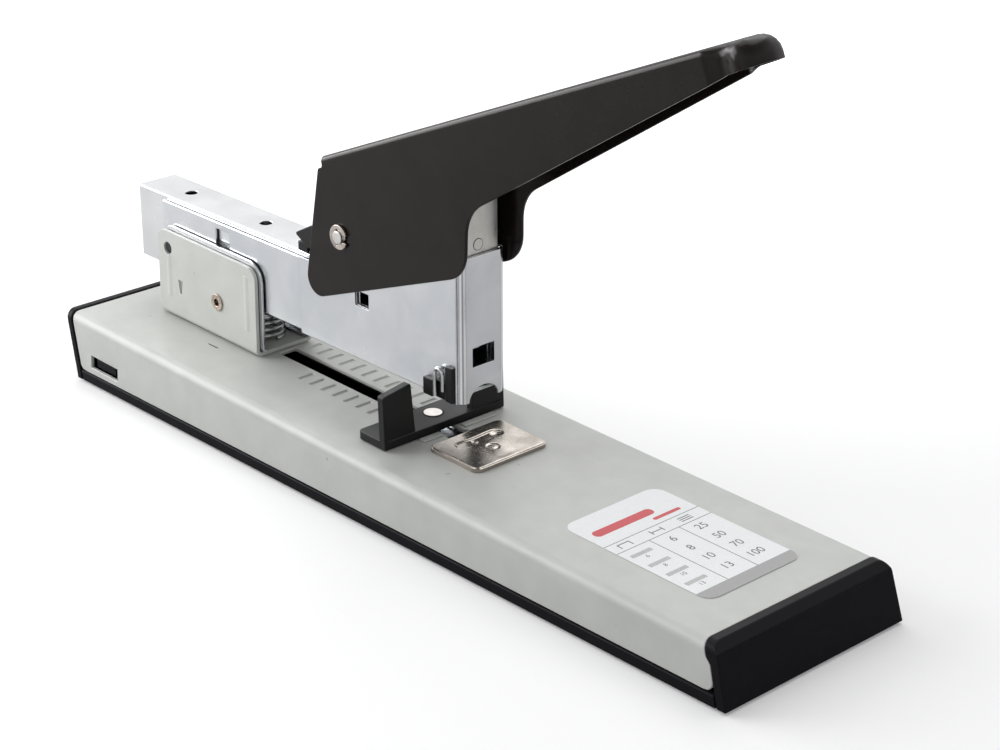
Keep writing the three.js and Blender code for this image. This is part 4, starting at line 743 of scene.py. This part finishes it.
def on_cover(x, y, height):
    """A place on the base's sloping top, from lengths along it, across it and above it."""
    return Vector(
        (
            x * math.cos(TOP_SLOPE) + height * math.sin(TOP_SLOPE),
            y,
            TOP_MIDDLE - x * math.sin(TOP_SLOPE) + height * math.cos(TOP_SLOPE),
        )
    )


def piece_of(name, shape, finish, body, smooth_angle=SMOOTH_ANGLE):
    mesh = bpy.data.meshes.new(name)
    fill_mesh(mesh, shape, smooth_angle)
    piece = mesh_object(name, mesh, finish, body)
    return piece


def bar(x0, x1, y0, y1, radius=0.0, steps=CORNER_STEPS):
    """The outline of a flat bar with rounded corners, counter-clockwise seen from above."""
    if radius == 0:
        return [(x0, y0), (x1, y0), (x1, y1), (x0, y1)]
    points = []
    middles = [(x1 - radius, y1 - radius), (x0 + radius, y1 - radius)]
    middles += [(x0 + radius, y0 + radius), (x1 - radius, y0 + radius)]
    for quarter, (x, y) in enumerate(middles):
        for step in range(steps + 1):
            angle = (quarter + step / steps) * QUARTER_TURN
            points.append((x + radius * math.cos(angle), y + radius * math.sin(angle)))
    return points


def prism(shape, lower, upper):
    """Adds a closed prism between two rings of points, given counter-clockwise seen from the upper one."""
    lower = [shape.verts.new(point) for point in lower]
    upper = [shape.verts.new(point) for point in upper]
    shape.faces.new(upper)
    shape.faces.new(lower[::-1])
    for at in range(len(lower)):
        after = (at + 1) % len(lower)
        shape.faces.new((lower[at], lower[after], upper[after], upper[at]))


def flat_shape(outlines, low, high):
    """Flat prisms on the base's top, one for each outline."""
    shape = bmesh.new()
    for outline in outlines:
        lower = [on_cover(x, y, low) for x, y in outline]
        upper = [on_cover(x, y, high) for x, y in outline]
        prism(shape, lower, upper)
    return shape


def add_number(shape, text, x, y, size):
    """A printed number, read from the front end, its middle at a place on the base's top."""
    curve = bpy.data.curves.new("number", "FONT")
    curve.body = text
    curve.size = size
    curve.align_x = "CENTER"
    curve.align_y = "CENTER"
    writing = bpy.data.objects.new("number", curve)
    collection.objects.link(writing)
    count = len(shape.verts)
    shape.from_mesh(writing.to_mesh())
    shape.verts.ensure_lookup_table()
    for vertex in shape.verts[count:]:
        across, up = vertex.co.x, vertex.co.y
        vertex.co = on_cover(x - up, y + across, LABEL_HIGH + INK)
    writing.to_mesh_clear()
    bpy.data.objects.remove(writing)
    bpy.data.curves.remove(curve)


def add_ink(name, outlines, finish, numbers=()):
    """A layer of print on the label."""
    moved = [[(LABEL_REAR + x, y) for x, y in outline] for outline in outlines]
    shape = flat_shape(moved, LABEL_HIGH, LABEL_HIGH + INK)
    for text, x, y, size in numbers:
        add_number(shape, text, LABEL_REAR + x, y, size)
    piece_of(name, shape, finish, "base")


def label_icons():
    """The heads of the columns: a staple seen from its end, its width, and a stack of sheets."""
    middle = (HEADER_REAR + HEADER_FRONT) / 2
    rear, front = middle - ICON_HALF, middle + ICON_HALF
    staple, width, sheets = COLUMN_MIDDLES
    icons = []
    for column, stem in ((staple, rear), (width, middle - ICON_STROKE / 2)):
        near, far = column - ICON_REACH, column + ICON_REACH
        icons.append(bar(stem, stem + ICON_STROKE, near, far))
        icons.append(bar(rear, front, near, near + ICON_STROKE))
        icons.append(bar(rear, front, far - ICON_STROKE, far))
    for level in (-1, 0, 1):
        x = middle + level * SHEET_GAP
        icons.append(bar(x - ICON_STROKE / 2, x + ICON_STROKE / 2, sheets - ICON_REACH, sheets + ICON_REACH))
    return icons


def add_label():
    """The label: a thin film with plain rules, numbers and small pictures of staples and sheets."""
    half = LABEL_WIDTH / 2
    whole = bar(LABEL_REAR, LABEL_REAR + LABEL_LENGTH, -half, half, LABEL_CORNER)
    film = flat_shape([whole], LABEL_LOW, LABEL_HIGH)
    piece = piece_of("label_film", film, "label_film", "base")
    round_edges(piece, LABEL_EDGE)
    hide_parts("label_plate")
    rules = [bar(x - RULE / 2, x + RULE / 2, -half, half) for x in (HEADER_REAR, HEADER_FRONT)]
    rules += [bar(HEADER_FRONT, BAND_REAR, y - RULE / 2, y + RULE / 2) for y in COLUMN_EDGES]
    staple, width, sheets = COLUMN_MIDDLES
    numbers = []
    strips = []
    for x, size, count in zip(ROW_MIDDLES, SIZE_NUMBERS, SHEET_NUMBERS):
        numbers.append((size, x, width, NUMBER_SIZE))
        numbers.append((count, x, sheets, NUMBER_SIZE))
        numbers.append((size, x + SMALL_NUMBER_DROP, staple, SMALL_NUMBER_SIZE))
        for leg in range(-STRIP_SIDE_LEGS, STRIP_SIDE_LEGS + 1):
            y = staple + leg * LEG_PITCH
            strips.append(
                bar(x - LEG_REAR, x + LEG_FRONT, y - LEG_HALF, y + LEG_HALF, LEG_CORNER, LEG_CORNER_STEPS)
            )
    add_ink("label_rules", rules + label_icons(), "dark_ink", numbers)
    outline = bar(0, LABEL_LENGTH, -half, half, LABEL_CORNER)
    band = [(max(x, BAND_REAR), y) for x, y in outline if x > BAND_REAR or abs(y) > half - RULE / 2]
    add_ink("label_band", [band], "grey_ink_and_painted_shade")
    add_ink("label_strips", strips, "grey_ink_and_painted_shade")
    add_ink("label_stripes", [bar(*stripe) for stripe in STRIPES], "red_ink")


def skin(shape, rings, closed=False):
    """Faces between rings of equal count, the last joined to the first where they are closed."""
    after_last = rings[:1] if closed else []
    for one, other in zip(rings, rings[1:] + after_last):
        for at in range(len(one)):
            after = (at + 1) % len(one)
            shape.faces.new((one[at], one[after], other[after], other[at]))


def tube(points, radius, level):
    """A round wire along a list of points, never parallel to the level direction, closed at both ends."""
    shape = bmesh.new()
    rings = []
    last = len(points) - 1
    for at, point in enumerate(points):
        way = (points[min(at + 1, last)] - points[max(at - 1, 0)]).normalized()
        side = way.cross(level).normalized()
        up = side.cross(way)
        ring = []
        for corner in range(SPRING_SIDES):
            angle = FULL_TURN * corner / SPRING_SIDES
            ring.append(shape.verts.new(point + radius * (side * math.cos(angle) + up * math.sin(angle))))
        rings.append(ring)
    skin(shape, rings)
    shape.faces.new(rings[0][::-1])
    shape.faces.new(rings[-1])
    bmesh.ops.recalc_face_normals(shape, faces=shape.faces)
    return shape


def hoop(middle, across, up, radius, wire):
    """A closed ring of round wire, its plane spanned by two directions."""
    out = across.cross(up)
    shape = bmesh.new()
    rings = []
    for step in range(HOOP_STEPS):
        angle = FULL_TURN * step / HOOP_STEPS
        way = across * math.cos(angle) + up * math.sin(angle)
        ring = []
        for corner in range(HOOP_SIDES):
            turn = FULL_TURN * corner / HOOP_SIDES
            reach = radius + wire * math.cos(turn)
            ring.append(shape.verts.new(middle + way * reach + out * wire * math.sin(turn)))
        rings.append(ring)
    skin(shape, rings, closed=True)
    bmesh.ops.recalc_face_normals(shape, faces=shape.faces)
    return shape


def add_return_spring():
    """The arm's coil spring with its end turns closed."""
    low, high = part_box("return_spring")
    middle = (low + high) / 2
    bottom = low[2] + SPRING_WIRE / 2
    height = high[2] - low[2] - SPRING_WIRE
    radius = (high[1] - low[1] - SPRING_WIRE) / 2
    closed_rise = SPRING_CLOSED_TURNS * SPRING_WIRE
    open_turns = SPRING_TURNS - 2 * SPRING_CLOSED_TURNS
    points = []
    for step in range(SPRING_TURNS * SPRING_STEPS + 1):
        turn = step / SPRING_STEPS
        first = min(turn, SPRING_CLOSED_TURNS) * SPRING_WIRE
        last = max(turn - SPRING_TURNS + SPRING_CLOSED_TURNS, 0) * SPRING_WIRE
        share = min(max(turn - SPRING_CLOSED_TURNS, 0) / open_turns, 1)
        rise = first + last + share * (height - 2 * closed_rise)
        angle = FULL_TURN * turn
        x = middle[0] + radius * math.cos(angle)
        y = middle[1] + radius * math.sin(angle)
        points.append(Vector((x, y, bottom + rise)))
    wire = tube(points, SPRING_WIRE / 2, UP)
    piece = piece_of("return_spring_wound", wire, "spring_steel", "base")
    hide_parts("return_spring")
    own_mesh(piece)


def add_pusher_spring():
    """The pusher's long spring, which closes up towards its rear end."""
    name = "pusher_spring_wound"
    mesh = clean_mesh("pusher_spring", name, SMOOTH_ANGLE, EDGE_ANGLE)
    piece = mesh_object(name, mesh, "spring_steel", "magazine")
    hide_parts("pusher_spring")
    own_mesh(piece)


def add_throat_spring():
    """The hairpin spring on the head's near side."""
    radius = (HAIRPIN_FRONT - HAIRPIN_REAR) / 2
    middle = (HAIRPIN_FRONT + HAIRPIN_REAR) / 2
    bend = HAIRPIN_TOP - HAIRPIN_WIRE - radius
    path = [(HAIRPIN_REAR, HAIRPIN_REAR_END)]
    for step in range(HAIRPIN_STEPS + 1):
        angle = math.pi * (1 - step / HAIRPIN_STEPS)
        path.append((middle + radius * math.cos(angle), bend + radius * math.sin(angle)))
    path.append((HAIRPIN_FRONT, HAIRPIN_FRONT_END))
    wire = tube([Vector((x, HAIRPIN_DEPTH, z)) for x, z in path], HAIRPIN_WIRE, ACROSS)
    piece = piece_of("throat_hairpin", wire, "spring_steel", "arm", BEND_ANGLE)
    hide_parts("throat_spring")


def add_rings():
    """Dark rings round the driver's rivet and the paper guide's disc."""
    low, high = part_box("driver_rivet")
    middle = Vector((low + high) / 2)
    middle.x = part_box("driver_blade")[1][0] + RIVET_RING_WIRE / 2
    ring = hoop(middle, ACROSS, UP, RIVET_RING, RIVET_RING_WIRE)
    piece_of("rivet_ring", ring, "shadow_paint", "driver", BEND_ANGLE)
    low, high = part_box("guide_rivet")
    middle = Vector((low + high) / 2)
    middle.z = high[2] - DISC_RING_WIRE
    along = Vector((math.cos(TOP_SLOPE), 0, -math.sin(TOP_SLOPE)))
    radius = (high[1] - low[1] + DISC_RING_WIRE) / 2
    ring = hoop(middle, along, ACROSS, radius, DISC_RING_WIRE)
    piece_of("disc_ring", ring, "shadow_paint", "guide", BEND_ANGLE)


def add_cover_details():
    """Painted shade in the floors of the pressed marks beside the slot, the lips at its mouth, and a small
    slit as a dark patch of painted shade.
    """
    marks = []
    for offset, skip in ((-TICK_NEAR_OFFSET, TICK_NEAR_SKIP), (TICK_FAR_OFFSET, 0)):
        for at in range(skip, TICK_COUNT):
            x = TICK_FIRST + at * TICK_PITCH
            y0, y1 = offset - TICK_LENGTH / 2, offset + TICK_LENGTH / 2
            marks.append(bar(x - TICK_WIDTH / 2, x + TICK_WIDTH / 2, y0, y1, TICK_WIDTH / 2))
    # Grey strips in the floors of the marks: painted shade
    shade = flat_shape(marks, TICK_LOW, TICK_HIGH)
    piece_of("tick_shades", shade, "tick_shade", "base")
    sides = ((-LIP_NEAR_OUTER, -LIP_INNER), (LIP_INNER, LIP_FAR_OUTER))
    lips = flat_shape(
        [bar(LIP_REAR, LIP_FRONT, near, far, LIP_CORNER) for near, far in sides], LABEL_LOW, LIP_HEIGHT
    )
    round_edges(piece_of("slot_lips", lips, "grey_paint", "base"), LIP_EDGE)
    slit = flat_shape([bar(*SLIT, SLIT_CORNER)], LABEL_LOW, SLIT_HIGH)
    # The slit: a flat black sheet of painted shade
    piece_of("cover_slit", slit, "shadow_paint", "base")


def add_bracket_mark():
    """A grey sheet of painted shade on the floor of the wedge pressed into the bracket's near side."""
    wedge = [(-MARK_LOW_WIDTH / 2, MARK_LOW), (MARK_LOW_WIDTH / 2, MARK_LOW)]
    wedge += [(MARK_HIGH_WIDTH / 2, MARK_HIGH), (-MARK_HIGH_WIDTH / 2, MARK_HIGH)]
    inner = BRACKET_NEAR + MARK_DEPTH - MARK_SINK
    back = [(MARK_MIDDLE + x, inner, z) for x, z in wedge]
    front = [(MARK_MIDDLE + x, inner - MARK_THICKNESS, z) for x, z in wedge]
    shape = bmesh.new()
    prism(shape, back, front)
    # The mark's floor: a grey sheet of painted shade
    piece_of("mark_shade", shape, "grey_ink_and_painted_shade", "base")


def smooth_share(value, start, end):
    share = min(max((value - start) / (end - start), 0), 1)
    return share * share * (3 - 2 * share)


def anvil_height(x, y, inside):
    """Height of the anvil plate's top at a place, inside being the distance in from its edge."""
    height = ANVIL_HIGH - ANVIL_EDGE_DROP * (1 - smooth_share(inside, 0, ANVIL_EDGE))
    valley = math.exp(-((y / VALLEY_HALF) ** 2))
    height -= VALLEY_DEPTH * valley * smooth_share(inside, 0, VALLEY_FADE)
    along = max(abs(y) - GROOVE_HALF_LENGTH + GROOVE_RADIUS, 0)
    from_groove = math.hypot(x - GROOVE_MIDDLE, along)
    height -= GROOVE_DEPTH * (1 - smooth_share(from_groove, GROOVE_FLOOR, GROOVE_BRIM))
    for pad in PADS:
        from_pad = math.hypot(x - GROOVE_MIDDLE, y - pad)
        height -= PAD_DEPTH * (1 - smooth_share(from_pad, 0, PAD_RADIUS))
    from_dimple = math.hypot(x - DIMPLE_PLACE, y)
    ring = 1 - smooth_share(abs(from_dimple - DIMPLE_RADIUS), 0, DIMPLE_RIM)
    return height - DIMPLE_DEPTH * ring


def in_rounded_corner(x, y, half_x, half_y):
    """A place on a square grid moved into a plate with round corners, and its distance from the edge."""
    over_x = max(abs(x) - half_x + ANVIL_CORNER, 0)
    over_y = max(abs(y) - half_y + ANVIL_CORNER, 0)
    if not (over_x and over_y):
        return x, y, min(half_x - abs(x), half_y - abs(y))
    reach = math.hypot(over_x, over_y)
    limit = max(over_x, over_y) / reach
    x = math.copysign(half_x - ANVIL_CORNER + over_x * limit, x)
    y = math.copysign(half_y - ANVIL_CORNER + over_y * limit, y)
    return x, y, ANVIL_CORNER - reach * limit


def add_anvil():
    """The anvil plate: one pressed sheet with a valley, a staple groove with two pads and a dimple."""
    half_x, half_y = ANVIL_LENGTH / 2, ANVIL_WIDTH / 2
    count_x, count_y = round(ANVIL_LENGTH / ANVIL_STEP), round(ANVIL_WIDTH / ANVIL_STEP)
    shape = bmesh.new()
    grid = []
    for row in range(count_x + 1):
        line = []
        for column in range(count_y + 1):
            x, y, inside = in_rounded_corner(
                -half_x + ANVIL_LENGTH * row / count_x,
                -half_y + ANVIL_WIDTH * column / count_y,
                half_x,
                half_y,
            )
            height = anvil_height(ANVIL_MIDDLE + x, y, inside)
            line.append(shape.verts.new(on_cover(ANVIL_MIDDLE + x, y, height)))
        grid.append(line)
    for one, other in zip(grid, grid[1:]):
        for at in range(count_y):
            shape.faces.new((one[at], other[at], other[at + 1], one[at + 1]))
    rim = [edge for edge in shape.edges if edge.is_boundary]
    skirt = bmesh.ops.extrude_edge_only(shape, edges=rim)
    drop = ANVIL_HIGH - ANVIL_EDGE_DROP - ANVIL_LOW
    for item in skirt["geom"]:
        if isinstance(item, bmesh.types.BMVert):
            item.co.z -= drop
    bmesh.ops.contextual_create(shape, geom=[edge for edge in shape.edges if edge.is_boundary])
    bmesh.ops.recalc_face_normals(shape, faces=shape.faces)
    piece = piece_of("anvil_pressed", shape, "nickel", "base", BEND_ANGLE)
    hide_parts("anvil_plate", "anvil_rivet")


def add_world():
    """Even studio light on the object, and a white room for the camera and in reflections."""
    world = bpy.data.worlds.new("studio")
    bpy.context.scene.world = world
    world.use_nodes = True
    nodes = Nodes(world.node_tree)
    path = nodes.add("ShaderNodeLightPath")
    direct = nodes.math("MAXIMUM", path.outputs["Is Camera Ray"], path.outputs["Is Transmission Ray"])
    way = nodes.add("ShaderNodeTexCoord").outputs["Generated"]
    split = nodes.add("ShaderNodeSeparateXYZ", Vector=way)
    ceiling = nodes.spread(split.outputs["Z"], CEILING_FROM, CEILING_TONE)
    aside = nodes.spread(split.outputs["X"], ASIDE_FROM, ASIDE_TONE)
    low = nodes.spread(split.outputs["Z"], LOW_FROM, LOW_TONE)
    shaded = nodes.math("SUBTRACT", ceiling, nodes.math("MULTIPLY", aside, low))
    glossy = nodes.blend(shaded, BLACK, WHITE)
    overhead = nodes.spread(split.outputs["Z"], WHOLE, SOFT_LIGHT)
    soft = nodes.add("ShaderNodeBackground", Color=WHITE, Strength=overhead)
    room = nodes.add("ShaderNodeBackground", Color=glossy, Strength=1.0)
    white = nodes.add("ShaderNodeBackground", Color=WHITE, Strength=1.0)
    lit = nodes.join(path.outputs["Is Glossy Ray"], soft.outputs[0], room.outputs[0])
    seen = nodes.join(direct, lit, white.outputs[0])
    nodes.add("ShaderNodeOutputWorld", Surface=seen)


def add_lamps():
    for name, (place, target, side, power) in LAMPS.items():
        data = bpy.data.lights.new(name, "AREA")
        data.shape = "RECTANGLE"
        data.size = data.size_y = side
        data.energy = power
        lamp = bpy.data.objects.new(name, data)
        lamp.location = place
        lamp.rotation_euler = (Vector(target) - Vector(place)).to_track_quat("-Z", "Y").to_euler()
        collection.objects.link(lamp)


def add_floor():
    mesh = bpy.data.meshes.new("floor")
    corners = bar(-FLOOR_HALF, FLOOR_HALF, -FLOOR_HALF, FLOOR_HALF)
    mesh.from_pydata([(x, y, 0) for x, y in corners], [], [range(len(corners))])
    floor = bpy.data.objects.new("floor", mesh)
    floor.location.z = -FLOOR_DROP
    collection.objects.link(floor)
    material, nodes, surface = new_material("floor_white")
    surface.inputs["Roughness"].default_value = FLOOR_ROUGHNESS
    surface.inputs["Specular IOR Level"].default_value = 0
    path = nodes.add("ShaderNodeLightPath")
    paint = nodes.blend(path.outputs["Is Camera Ray"], FLOOR_PAINT, FLOOR_SEEN)
    nodes.put(surface.inputs["Base Color"], paint)
    away = nodes.add("ShaderNodeVectorMath")
    away.operation = "LENGTH"
    nodes.put(away.inputs[0], nodes.add("ShaderNodeTexCoord").outputs["Object"])
    # Weaker glow near the object: a painted shadow round it
    glow_past_painted_shadow = nodes.spread(away.outputs["Value"], GLOW_FROM, GLOW)
    direct = nodes.math("MULTIPLY", path.outputs["Is Camera Ray"], glow_past_painted_shadow)
    through = nodes.math("MAXIMUM", path.outputs["Is Glossy Ray"], path.outputs["Is Transmission Ray"])
    shown = nodes.math("ADD", direct, nodes.math("MULTIPLY", through, GLOW_IN_GLOSS))
    glow = nodes.add("ShaderNodeEmission", Color=WHITE, Strength=shown)
    together = nodes.add("ShaderNodeAddShader")
    nodes.put(together.inputs[0], surface.outputs[0])
    nodes.put(together.inputs[1], glow.outputs[0])
    output = next(node for node in nodes.tree.nodes if node.type == "OUTPUT_MATERIAL")
    nodes.put(output.inputs["Surface"], together.outputs[0])
    mesh.materials.append(material)


add_camera()
add_world()
add_floor()
add_lamps()
dress_frame()
add_label()
add_return_spring()
add_pusher_spring()
add_throat_spring()
add_rings()
add_cover_details()
add_bracket_mark()
add_anvil()
bpy.context.scene.view_settings.view_transform = "Standard"
